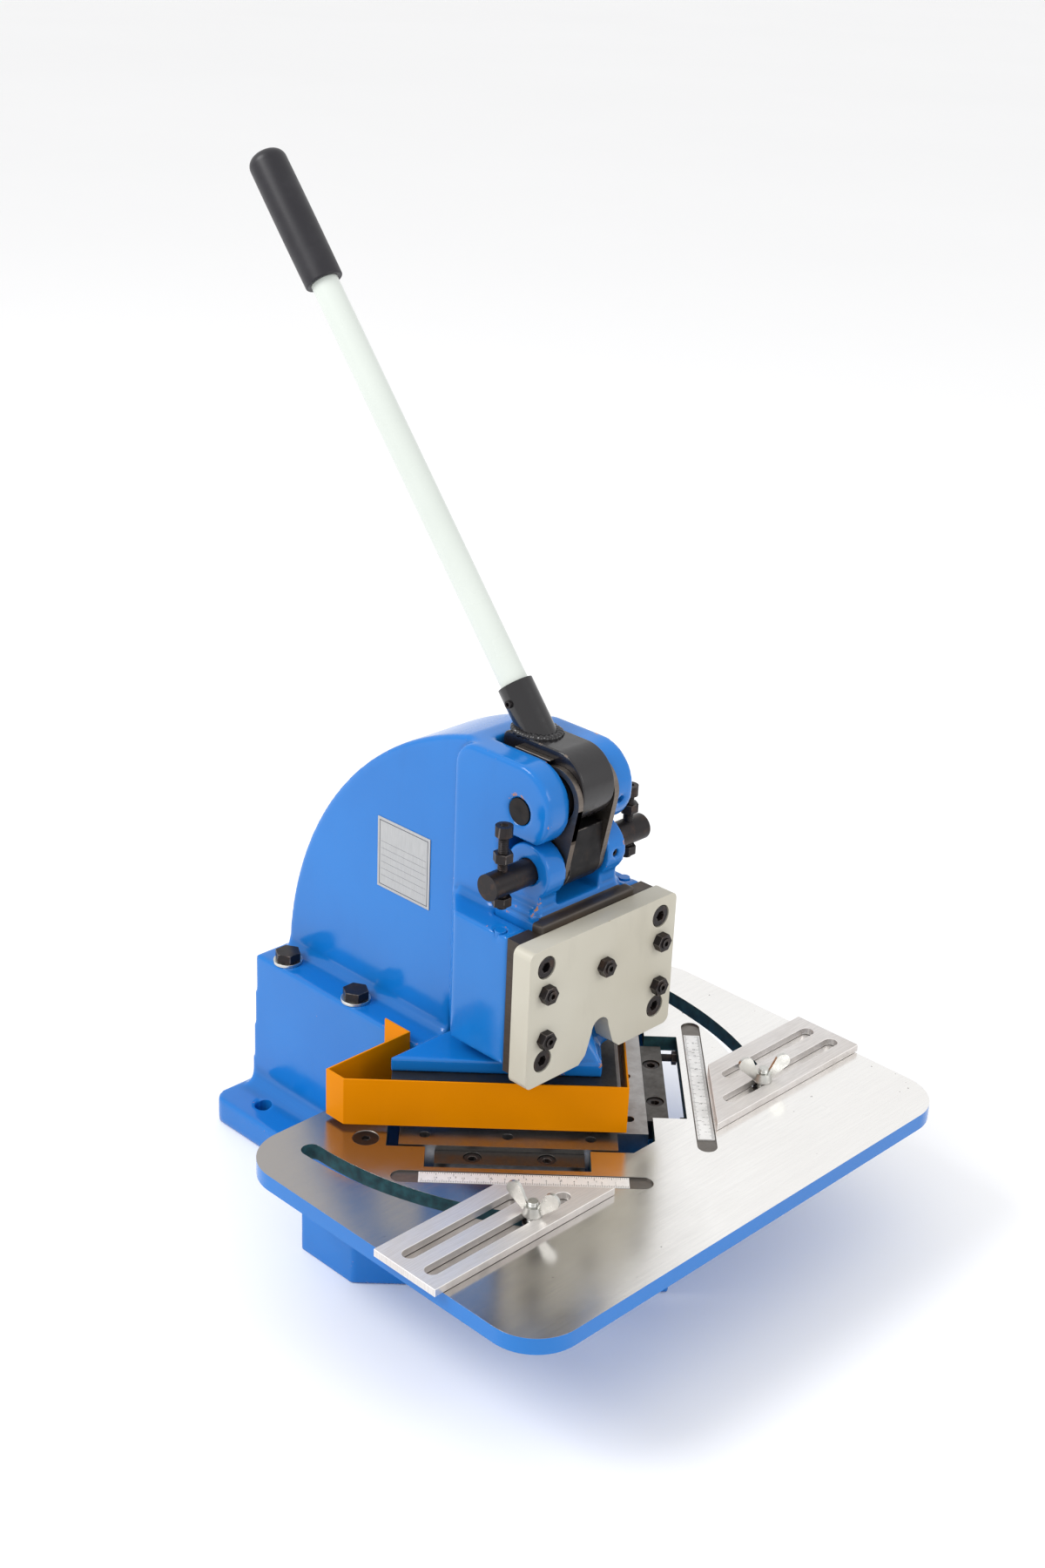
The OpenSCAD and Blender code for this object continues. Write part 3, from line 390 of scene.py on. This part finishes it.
def mark_curvature(piece):
    """Stores how far each point of a dense mesh stands out ("edge") or lies in ("hollow")."""
    edge_gain, hollow_gain = 26.0, 30.0
    mesh = piece.data
    count = len(mesh.vertices)
    place = np.empty(count * 3)
    mesh.vertices.foreach_get("co", place)
    place = place.reshape(-1, 3)
    normal = np.empty(count * 3)
    mesh.vertex_normals.foreach_get("vector", normal)
    normal = normal.reshape(-1, 3)
    edges = np.empty(len(mesh.edges) * 2, int)
    mesh.edges.foreach_get("vertices", edges)
    edges = edges.reshape(-1, 2)
    total = np.zeros_like(place)
    valence = np.zeros(count)
    for a, b in ((0, 1), (1, 0)):
        np.add.at(total, edges[:, a], place[edges[:, b]])
        np.add.at(valence, edges[:, a], 1)
    span = np.linalg.norm(place[edges[:, 0]] - place[edges[:, 1]], axis=1).mean()
    out = ((place - total / valence[:, None]) * normal).sum(1) / span
    for name, values in (("edge", out * edge_gain), ("hollow", -out * hollow_gain)):
        attribute = mesh.attributes.new(name, "FLOAT", "POINT")
        attribute.data.foreach_set("value", np.clip(values, 0, 1).astype(np.float32))


def box_object(name, low, high):
    """A box between two corners."""
    bm = bmesh.new()
    low, high = Vector(low), Vector(high)
    bmesh.ops.create_cube(bm, size=1, matrix=Matrix.LocRotScale((low + high) / 2, None, high - low))
    return object_from(name, bm)


def rod_object(name, start, end, radius, segments=48):
    """A round bar between two points."""
    start, end = Vector(start), Vector(end)
    turn = (end - start).to_track_quat("Z", "Y").to_matrix().to_4x4()
    bm = bmesh.new()
    bmesh.ops.create_cone(bm, cap_ends=True, segments=segments, radius1=radius, radius2=radius,
                          depth=(end - start).length, matrix=Matrix.Translation((start + end) / 2) @ turn)
    return object_from(name, bm)


def fillet_bar(start, end, out_a, out_b, radius):
    """Concave fillet between two walls that meet along start-end; out_a and out_b point along the walls."""
    start, end, out_a, out_b = (Vector(v) for v in (start, end, out_a, out_b))
    sink = 1.2 * MM     # depth that the bar reaches into both walls
    steps = 8
    outline = [(-sink, -sink), (radius, -sink)]
    for i in range(steps + 1):
        a = math.radians(90) * i / steps
        outline.append((radius - radius * math.sin(a), radius - radius * math.cos(a)))
    outline.append((-sink, radius))
    bm = bmesh.new()
    rings = [[bm.verts.new(p + out_a * u + out_b * v) for u, v in outline] for p in (start, end)]
    bm.faces.new(rings[0])
    bm.faces.new(list(reversed(rings[1])))
    for i in range(len(outline)):
        j = (i + 1) % len(outline)
        bm.faces.new((rings[0][i], rings[0][j], rings[1][j], rings[1][i]))
    return object_from("fillet", bm)


def lathe(name, outline, matrix):
    """Turns (radius, height) points about local z. The outline runs from axis to axis."""
    segments = 96
    bm = bmesh.new()
    rings = []
    for radius, height in outline:
        if radius < 1e-7:
            rings.append([bm.verts.new(matrix @ Vector((0, 0, height)))])
            continue
        rings.append([bm.verts.new(matrix @ Vector((radius * math.cos(t), radius * math.sin(t), height)))
                      for t in np.linspace(0, 2 * math.pi, segments, endpoint=False)])
    for a, b in zip(rings, rings[1:]):
        for i in range(segments):
            j = (i + 1) % segments
            if len(a) == 1:
                bm.faces.new((a[0], b[i], b[j]))
            elif len(b) == 1:
                bm.faces.new((a[i], b[0], a[j]))
            else:
                bm.faces.new((a[i], b[i], b[j], a[j]))
    return object_from(name, bm)


def rounded_end(radius, height, corner, direction, steps=6):
    """Outline points of a rounded rim at a height; direction is 1 at an upper end and -1 at a lower one."""
    turn = [math.radians(90) * i / steps for i in range(steps + 1)]
    points = [(radius - corner + corner * math.cos(t), height + direction * corner * (math.sin(t) - 1))
              for t in turn]
    return points if direction > 0 else list(reversed(points))


def thread(name, radius, pitch, start, end):
    """A screw thread with flat ends, as one closed mesh."""
    segments, rings_per_turn = 30, 6
    start, end = Vector(start), Vector(end)
    length = (end - start).length
    turn = Matrix.Translation(start) @ (end - start).to_track_quat("Z", "Y").to_matrix().to_4x4()
    rings = max(2, int(length / pitch * rings_per_turn))
    depth = 0.55 * pitch
    bm = bmesh.new()
    grid = []
    for k in range(rings + 1):
        z = length * k / rings
        ring = []
        for i in range(segments):
            phase = (z / pitch - i / segments) % 1.0
            r = radius - depth * abs(2 * phase - 1)
            t = 2 * math.pi * i / segments
            ring.append(bm.verts.new(turn @ Vector((r * math.cos(t), r * math.sin(t), z))))
        grid.append(ring)
    for a, b in zip(grid, grid[1:]):
        for i in range(segments):
            j = (i + 1) % segments
            bm.faces.new((a[i], a[j], b[j], b[i]))
    bm.faces.new(list(reversed(grid[0])))
    bm.faces.new(grid[-1])
    return object_from(name, bm)


def join(target, others):
    """Adds the other objects' meshes to the target's, and removes them."""
    bm = bmesh.new()
    bm.from_mesh(target.data)
    for other in others:
        bm.from_mesh(other.data)
        bpy.data.objects.remove(other)
    bm.to_mesh(target.data)
    bm.free()
    return target


def cut(piece, cutters):
    """Takes the joined cutters out of the piece."""
    tool = join(cutters[0], cutters[1:])
    modifier = piece.modifiers.new("cut", "BOOLEAN")
    modifier.operation = "DIFFERENCE"
    modifier.solver = "MANIFOLD"
    modifier.object = tool
    apply_modifiers(piece)
    bpy.data.objects.remove(tool)


def casting(node, name, extras, cutters, voxel, rounds):
    """A sand casting: edges rounded and corners filled by remeshing and smoothing, then bored and faced."""
    piece = object_from(name, clean_copy(node))
    join(piece, extras)
    remesh = piece.modifiers.new("remesh", "REMESH")
    remesh.mode = "VOXEL"
    remesh.voxel_size = voxel * MM
    smooth = piece.modifiers.new("smooth", "SMOOTH")
    smooth.factor = 0.5
    smooth.iterations = rounds
    apply_modifiers(piece)
    cut(piece, cutters)
    piece.data.materials.clear()
    piece.data.materials.append(LOOKS["blue_paint"])
    mark_curvature(piece)
    piece.data.shade_smooth()
    piece.data.set_sharp_from_angle(angle=math.radians(50))
    return stand_for(piece, node)


# ---------------------------------------------------------------- castings

SEAM_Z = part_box("upper_frame")[0].z     # joint between the base and the upper frame
BIG = 0.5                               # more than the machine's half width
COLUMN_X = 66                           # half width of the column, in millimetres
RAM_PIN = (74.5, 205.5)                 # y and z, in millimetres
PIN_BORE = 0.01005                      # radius of the bores for the pin and the lever's shaft
SCREW_BORE = 0.00305                    # radius of the bores for their retaining screws


def bolt_places():
    """Centres of the four frame bolts."""
    low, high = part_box("frame_washers")
    r = 0.012
    return [(s * (high.x - r), y) for s in (-1, 1) for y in (low.y + r, high.y - r)]


def bolt_holes(below, above, radius):
    return [rod_object("bolt_hole", (x, y, SEAM_Z - below), (x, y, SEAM_Z + above), radius)
            for x, y in bolt_places()]


def base_casting():
    """The base: filled out above the seam, filleted along the foot, then faced and bored."""
    foot_top, foot_front, foot_back = 0.024, -0.09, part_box("base")[1].y - 0.006
    hole_x, hole_y, hole_r = 0.0845, 0.0475, 0.007
    extras = [box_object("top", at(-COLUMN_X, 152, -20), at(COLUMN_X, 357, 14))]
    for s in (-1, 1):
        wall = s * COLUMN_X * MM
        extras.append(fillet_bar((wall, foot_front, foot_top), (wall, foot_back, foot_top),
                                 (s, 0, 0), (0, 0, 1), 0.016))
    cutters = [box_object("seam", (-BIG, -BIG, SEAM_Z), (BIG, BIG, SEAM_Z + 0.1))]
    for x in (-hole_x, hole_x):
        for y in (-hole_y, hole_y):
            cutters.append(rod_object("foot_hole", (x, y, -0.01), (x, y, 0.06), hole_r))
    cutters += bolt_holes(0.03, -0.001, 0.0063)
    return casting("base", "base_casting", extras, cutters, voxel=2.0, rounds=7)


def frame_casting():
    """The C frame: filled out below the seam, filleted where its walls meet, then faced and bored."""
    web_x, head_x, box_back = 35, 44.5, 149
    ledge_top, box_top, ear_bottom, ear_back = 33, 167, 230, 100
    shaft_y, shaft_z = 82, 251.3
    extras = [box_object("low", at(-COLUMN_X, 156, 2), at(COLUMN_X, 357, 12))]
    for s in (-1, 1):
        along_x, along_y, along_z = (s, 0, 0), (0, 1, 0), (0, 0, 1)
        extras += [
            fillet_bar(at(s * web_x, 158, ledge_top), at(s * web_x, 349, ledge_top), along_x, along_z, 0.010),
            fillet_bar(at(s * web_x, box_back, 64), at(s * web_x, box_back, 262), along_x, along_y, 0.006),
            fillet_bar(at(s * head_x, 104, box_top), at(s * head_x, 140, box_top), along_x, along_z, 0.007),
            fillet_bar(at(s * 26, ear_back, ear_bottom), at(s * 43, ear_back, ear_bottom),
                       (0, -1, 0), (0, 0, -1), 0.008),
        ]
    cutters = [
        box_object("seam", (-BIG, -BIG, SEAM_Z - 0.1), (BIG, BIG, SEAM_Z)),
        rod_object("pivot", at(-60, shaft_y, shaft_z), at(60, shaft_y, shaft_z), PIN_BORE),
        rod_object("screw", at(33, 40, 248), at(33, 75, 248), SCREW_BORE, 24),
        box_object("channel", at(-50, 40, 50), at(50, 98, 190)),
    ]
    cutters += bolt_holes(0.01, 0.05, 0.0067)
    for x in (-COLUMN_X, COLUMN_X):
        cutters.append(rod_object("pad", at(x, RAM_PIN[0], 160), at(x, RAM_PIN[0], 190), 0.0045, 32))
    return casting("upper_frame", "frame_casting", extras, cutters, voxel=1.6, rounds=14)


def ram_casting():
    """The slide with its ears and foot; the slide's own faces are greasy bare steel."""
    ear_x, slide_top, front = 41, 178, 49.3
    pin_y, pin_z = RAM_PIN
    extras = [fillet_bar(at(s * ear_x, 62, slide_top), at(s * ear_x, 95, slide_top),
                         (s, 0, 0), (0, 0, 1), 0.006)
              for s in (-1, 1)]
    cutters = [
        rod_object("pin", at(-60, pin_y, pin_z), at(60, pin_y, pin_z), PIN_BORE),
        rod_object("screw", at(31, 40, pin_z), at(31, 72, pin_z), SCREW_BORE, 24),
        box_object("face", at(-60, 30, 78), at(60, front, 190)),
    ]
    piece = casting("ram_body", "ram_casting", extras, cutters, voxel=1.4, rounds=6)
    piece.data.materials.append(GREASY)
    strip_low, strip_high = at(-49.9, 0, 76), at(49.9, 59, 176)
    for polygon in piece.data.polygons:
        c = polygon.center
        if abs(c.x) < strip_high.x and c.y < strip_high.y and strip_low.z < c.z < strip_high.z:
            polygon.material_index = 1
    return piece


# ---------------------------------------------------------------- table and rules

def table_piece():
    """The table: bare steel on top, grey recess floors, dark walls in its slots, and paint elsewhere."""
    piece = soften("table", 0.7, 3)
    mesh = piece.data
    for material in (LOOKS["blue_paint"], SLOT_WALL, RECESS):
        mesh.materials.append(material)
    steel_face, painted, slot_wall, recess = range(4)
    low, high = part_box("table")
    recess_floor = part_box("left_rule")[0].z
    arms_x, front_strip, back_strip = 0.195, 0.06, 0.002
    for polygon in mesh.polygons:
        centre, level = polygon.center, polygon.center.z
        inside = abs(centre.x) < arms_x and low.y + front_strip < centre.y < high.y - back_strip
        if inside and recess_floor - 0.2 * MM < level < high.z - 0.4 * MM:
            polygon.material_index = recess
        elif polygon.normal.z > 0.5 and level > high.z - 3 * MM:
            polygon.material_index = steel_face
        elif inside and abs(polygon.normal.z) < 0.5:
            polygon.material_index = slot_wall
        else:
            polygon.material_index = painted
    return piece


def flat_bars(name, bars, matrix, thickness):
    """Thin ink bars, each given as (centre, length along x, length along y) in the matrix's frame."""
    bm = bmesh.new()
    for centre, along_x, along_y in bars:
        size = Vector((along_x, along_y, thickness))
        bmesh.ops.create_cube(bm, size=1, matrix=matrix @ Matrix.LocRotScale(Vector(centre), None, size))
    return object_from(name, bm)


def number_mesh(word, size, place, angle):
    """One number as thin raised ink."""
    curve = bpy.data.curves.new("number", "FONT")
    curve.body = word
    curve.size = size
    curve.align_x = "CENTER"
    curve.align_y = "CENTER"
    curve.extrude = 0.00001
    letters = new_object("number", curve)
    letters.matrix_world = Matrix.Translation(place) @ Matrix.Rotation(angle, 4, "Z")
    bpy.context.view_layer.update()
    graph = bpy.context.evaluated_depsgraph_get()
    mesh = bpy.data.meshes.new_from_object(letters.evaluated_get(graph))
    mesh.transform(letters.matrix_world)
    bpy.data.objects.remove(letters)
    return new_object("number", mesh)


def mark_length(i, lengths):
    """The length for graduation i: the first (step, length) whose step divides it."""
    return next(length for step, length in lengths if i % step == 0)


def scale_marks(side):
    """Millimetre and inch graduations with their numbers, as thin raised ink."""
    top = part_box(side + "_rule")[1].z - ORIGIN.z
    matrix = leg_matrix(side)
    middle, half_width = 0.0605, 0.0062
    inner, outer = middle - half_width, middle + half_width
    inch = 0.0254
    bars = []
    for i in range(1, 152):
        length = mark_length(i, ((10, 0.0042), (5, 0.0030), (1, 0.0020)))
        bars.append(((i * MM, outer - length / 2, top + 0.00001), 0.00026, length))
    for i in range(1, 96):
        length = mark_length(i, ((16, 0.0046), (8, 0.0034), (4, 0.0024), (1, 0.0016)))
        bars.append(((i * inch / 16, inner + length / 2, top + 0.00001), 0.00032, length))
    marks = flat_bars(side + "_rule_marks", bars, matrix, 0.00003)
    numbers = [(i * 10 * MM, outer - 0.0056, 0.0027, str(i)) for i in range(1, 15)]
    numbers += [(i * inch - 0.0016, inner + 0.0058, 0.0030, str(i)) for i in range(1, 6)]
    angle = math.radians(45) * SIDES[side]
    join(marks, [number_mesh(word, size, matrix @ Vector((u, v, top + 0.00002)), angle)
                 for u, v, size, word in numbers])
    marks.data.materials.clear()
    marks.data.materials.append(INK)
    return stand_on(marks, "frame")


def data_plate_piece():
    """The blank plate with its border and ruled lines."""
    piece = soften("data_plate", 0.15, 2)
    low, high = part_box("data_plate")
    face = low.x
    margin, line, fine_line = 0.0022, 0.0006, 0.0002
    first_row, row_gap, rows = 0.012, 0.0058, 6
    y0, y1, z0, z1 = low.y + margin, high.y - margin, low.z + margin, high.z - margin
    edges = [
        (y0, z0, y1, z0 + line),
        (y0, z1 - line, y1, z1),
        (y0, z0, y0 + line, z1),
        (y1 - line, z0, y1, z1),
    ]
    for i in range(1, rows + 1):
        z = z1 - first_row - i * row_gap
        edges.append((y0 + 0.002, z, y1 - 0.002, z + fine_line))
    upright = Matrix(((0, 0, 1, 0), (1, 0, 0, 0), (0, 1, 0, 0), (0, 0, 0, 1)))
    bars = [(((ya + yb) / 2, (za + zb) / 2, face), yb - ya, zb - za) for ya, za, yb, zb in edges]
    border = flat_bars("data_plate_border", bars, upright, 0.00006)
    border.data.materials.append(PLATE_INK)
    stand_on(border, "frame")
    return piece


# ---------------------------------------------------------------- handle

HANDLE_LEAN = math.radians(39.9)
HANDLE = Matrix.Translation(at(0, 133.8, 322.4)) @ Matrix.Rotation(-HANDLE_LEAN, 4, "X")
TUBE_R = 0.01065
TUBE_LEN = 0.3327                       # bare part of the tube, from the socket's mouth to the grip
GRIP_LEN = 0.110


def handle_tube_piece():
    """The tube, from inside the socket to inside the grip."""
    start, end, rings = -0.020, TUBE_LEN + 0.10, 12
    outline = [(0, start)]
    outline += [(TUBE_R, start + k * (end - start) / rings) for k in range(rings + 1)]
    outline.append((0, end))
    return dress(lathe("handle_tube_piece", outline, HANDLE), "handle_tube")


def hand_grip_piece():
    """The moulded grip: slightly thicker in its middle, with a rounded end."""
    rim, swell, end_corner = 0.0148, 0.0002, 0.0088
    start, end = TUBE_LEN, TUBE_LEN + GRIP_LEN - 0.0005
    bore, bore_end = TUBE_R + 0.00001, TUBE_LEN + 0.09
    outline = [(0, bore_end), (bore, bore_end), (bore, start + 0.0004)] + rounded_end(rim, start, 0.0014, -1)
    rings = 24
    for k in range(1, rings):
        z = start + 0.0015 + k * (GRIP_LEN - 0.0015 - end_corner) / rings
        outline.append((rim + swell * math.sin(math.pi * k / rings), z))
    outline += rounded_end(rim, end, end_corner, 1, 10)
    outline.append((0, end))
    return dress(lathe("hand_grip_piece", outline, HANDLE), "hand_grip")


def weld_bead():
    """The rippled bead round the socket's foot, on the hub's flat top."""
    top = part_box("lever_hub")[1].z
    drop = (HANDLE.translation.z - top) * math.tan(HANDLE_LEAN)
    centre = Vector((0, HANDLE.translation.y - drop, top + 0.0002))
    socket_r, thick = 0.0138, 0.0034
    a, b = socket_r, socket_r / math.cos(HANDLE_LEAN)
    around, section = 160, 12
    bm = bmesh.new()
    rings = []
    for i in range(around):
        t = 2 * math.pi * i / around
        size = thick * (1 + 0.13 * math.sin(26 * t) + 0.08 * math.sin(7 * t + 1))
        middle = centre + Vector((a * math.cos(t), b * math.sin(t), 0))
        out = Vector((math.cos(t) / a, math.sin(t) / b, 0)).normalized()
        ring = []
        for k in range(section):
            u = 2 * math.pi * k / section
            rise = Vector((0, 0, 0.8 * size * math.sin(u)))
            ring.append(bm.verts.new(middle + out * (size * math.cos(u)) + rise))
        rings.append(ring)
    for i in range(around):
        one, two = rings[i], rings[(i + 1) % around]
        for k in range(section):
            m = (k + 1) % section
            bm.faces.new((one[k], one[m], two[m], two[k]))
    bead = object_from("socket_weld_bead", bm)
    bead.data.materials.append(LOOKS["black_paint"])
    bead.data.shade_smooth()
    return stand_on(bead, "lever")


# ---------------------------------------------------------------- screws with threads

SCREW_R = 0.004                         # M8
PITCH = 0.00125


def islands(bm):
    """The vertices of each separate solid."""
    seen, groups = set(), []
    for start in bm.verts:
        if start in seen:
            continue
        stack, group = [start], []
        seen.add(start)
        while stack:
            v = stack.pop()
            group.append(v)
            for e in v.link_edges:
                other = e.other_vert(v)
                if other not in seen:
                    seen.add(other)
                    stack.append(other)
        groups.append(group)
    return groups


def keep_part(node, name, test, plane_point, plane_normal):
    """The solids of a node that pass the test, cut off on the plane's outer side."""
    bm = clean_copy(node)
    for group in islands(bm):
        middle = sum((v.co for v in group), Vector()) / len(group)
        if not test(middle):
            bmesh.ops.delete(bm, geom=group, context="VERTS")
    geom = list(bm.verts) + list(bm.edges) + list(bm.faces)
    bmesh.ops.bisect_plane(bm, geom=geom, plane_co=plane_point, plane_no=plane_normal, clear_outer=True)
    bmesh.ops.holes_fill(bm, edges=[e for e in bm.edges if e.is_boundary], sides=0)
    bevel_sharp(bm, 0.35 * MM, 2)
    return object_from(name, bm)


def stop_screws_piece():
    """The two depth stops: the CAD heads on threaded shanks. The right one is screwed further in."""
    low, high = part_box("stop_screws")
    head, right_drop = 0.008, 0.0065
    y = (low.y + high.y) / 2
    parts = []
    for s, top in ((-1, high.z), (1, high.z - right_drop)):
        x = s * COLUMN_X * MM
        neck = Vector((x, y, top - head))
        parts.append(keep_part("stop_screws", "head", lambda c, s=s: c.x * s > 0, neck, (0, 0, -1)))
        parts.append(thread("screw", SCREW_R, PITCH, (x, y, low.z), neck + Vector((0, 0, 0.001))))
    return dress(join(parts[0], parts[1:]), "stop_screws", sharp=60)


def stud_piece(side):
    """A fence stud: the CAD head under the table on a threaded shank."""
    node = side + "_stud"
    low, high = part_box(node)
    head = 0.0034
    x, y = (low.x + high.x) / 2, (low.y + high.y) / 2
    collar = Vector((x, y, low.z + head))
    piece = keep_part(node, node + "_piece", lambda c: True, collar, (0, 0, 1))
    rod = thread("rod", SCREW_R, PITCH, collar - Vector((0, 0, 0.0005)), (x, y, high.z))
    return dress(join(piece, [rod]), node, sharp=60)


# ---------------------------------------------------------------- everything else

# Pieces by how far their edges are broken, in millimetres, and by the number of steps round the edge
SOFT_EDGES = {
    (0.1, 2): ("left_rule", "right_rule"),
    (0.2, 2): ("pivot_screw", "ram_pin_screw"),
    (0.25, 2): ("left_upper_blade", "right_upper_blade", "left_lower_blade", "right_lower_blade"),
    (0.3, 2): ("frame_washers", "guard_screws", "socket_screw", "upper_blade_screws", "table_screws",
               "lower_blade_screws"),
    (0.35, 2): ("gib_screws",),
    (0.4, 2): ("cover_screws", "stop_pads", "bar_screws", "push_bolts"),
    (0.45, 3): ("guard", "left_fence", "right_fence"),
    (0.5, 2): ("left_gib_strip", "right_gib_strip", "left_lever_cheek", "right_lever_cheek",
               "left_slot_nut", "right_slot_nut"),
    (0.5, 3): ("gib_lock_nuts", "stop_nuts", "left_support_bar", "right_support_bar"),
    (0.6, 3): ("frame_bolts", "left_link_plate", "right_link_plate"),
    (0.8, 3): ("eccentric_shaft", "handle_socket", "link_block"),
    (0.9, 4): ("left_wing_nut", "right_wing_nut"),
    (1.2, 4): ("lever_hub", "ram_pin"),
    (1.6, 4): ("cover_plate",),
}

# Pieces that do not look like the rest of their material slot
OTHER_LOOKS = {
    "left_gib_strip": GREASY,
    "right_gib_strip": GREASY,
    # The link block and eccentric shaft: black iron darkened further as painted shade in the gap
    "link_block": BLACK_IRON_WITH_GAP_SHADE,
    "eccentric_shaft": BLACK_IRON_WITH_GAP_SHADE,
    "stop_pads": LOOKS["blue_paint"],
}
for side in SIDES:
    # The upper blades take darker steel than the lower ones: dark steel of their own, deepened as painted
    # shade under the ram's foot
    OTHER_LOOKS[side + "_upper_blade"] = DARK_BAR
    OTHER_LOOKS[side + "_lower_blade"] = BRIGHT_BLADE
    OTHER_LOOKS[side + "_support_bar"] = DARK_BAR

for (width, segments), nodes in SOFT_EDGES.items():
    for node in nodes:
        soften(node, width, segments, OTHER_LOOKS.get(node))
for side in SIDES:
    scale_marks(side)
    stud_piece(side)
base_casting()
frame_casting()
ram_casting()
table_piece()
data_plate_piece()
handle_tube_piece()
hand_grip_piece()
weld_bead()
stop_screws_piece()


# ---------------------------------------------------------------- floor, light and camera

def floor():
    """A plain pale floor that runs past the frame's edges."""
    bm = bmesh.new()
    bmesh.ops.create_grid(bm, x_segments=2, y_segments=2, size=40)
    ground = object_from("floor", bm)
    if ground.data.polygons[0].normal.z < 0:
        ground.data.flip_normals()
    n = Nodes("studio_floor")
    tone = n.mix(n.noise(0.6), (0.93, 0.93, 0.935), (0.90, 0.90, 0.905))
    ground.data.materials.append(n.finish(Base_Color=tone, Roughness=0.55, Specular_IOR_Level=0.2))


def area_light(name, place, target, size, power):
    """A soft rectangular light that faces the target."""
    light = bpy.data.lights.new(name, "AREA")
    light.shape = "RECTANGLE"
    light.size, light.size_y = size
    light.energy = power
    lamp = new_object(name, light)
    lamp.location = place
    lamp.rotation_euler = (Vector(target) - Vector(place)).to_track_quat("-Z", "Y").to_euler()


def studio():
    """Even white surroundings, a key light from behind on the left and a weak fill from the front."""
    world = bpy.data.worlds.new("studio")
    bpy.context.scene.world = world
    world.use_nodes = True
    background = world.node_tree.nodes["Background"]
    background.inputs["Color"].default_value = (1.0, 1.0, 1.0, 1)
    background.inputs["Strength"].default_value = 1.0
    middle = (0, 0, 0.25)
    area_light("key", (-1.9, 0.9, 2.4), middle, (1.3, 1.3), 50)
    area_light("fill", (0.7, -2.6, 1.7), middle, (1.8, 1.2), 16)
    bpy.context.scene.view_settings.view_transform = "Standard"


def photo_camera():
    """The camera at the photo's angle."""
    turn, tilt, roll = (math.radians(a) for a in (-46.09, 23.68, 2.39))
    back = Vector((math.sin(turn) * math.cos(tilt), -math.cos(turn) * math.cos(tilt), math.sin(tilt)))
    right = Vector((math.cos(turn), math.sin(turn), 0))
    up = back.cross(right)
    tilted_right = math.cos(roll) * right + math.sin(roll) * up
    tilted_up = -math.sin(roll) * right + math.cos(roll) * up
    data = bpy.data.cameras.new("camera")
    data.lens = 49.3
    data.sensor_width = 36
    camera = new_object("camera", data)
    rotation = Matrix((tilted_right, tilted_up, back)).transposed().to_4x4()
    camera.matrix_world = Matrix.Translation(at(-1044.51, -883.41, 882.62)) @ rotation
    bpy.context.scene.camera = camera


floor()
studio()
photo_camera()
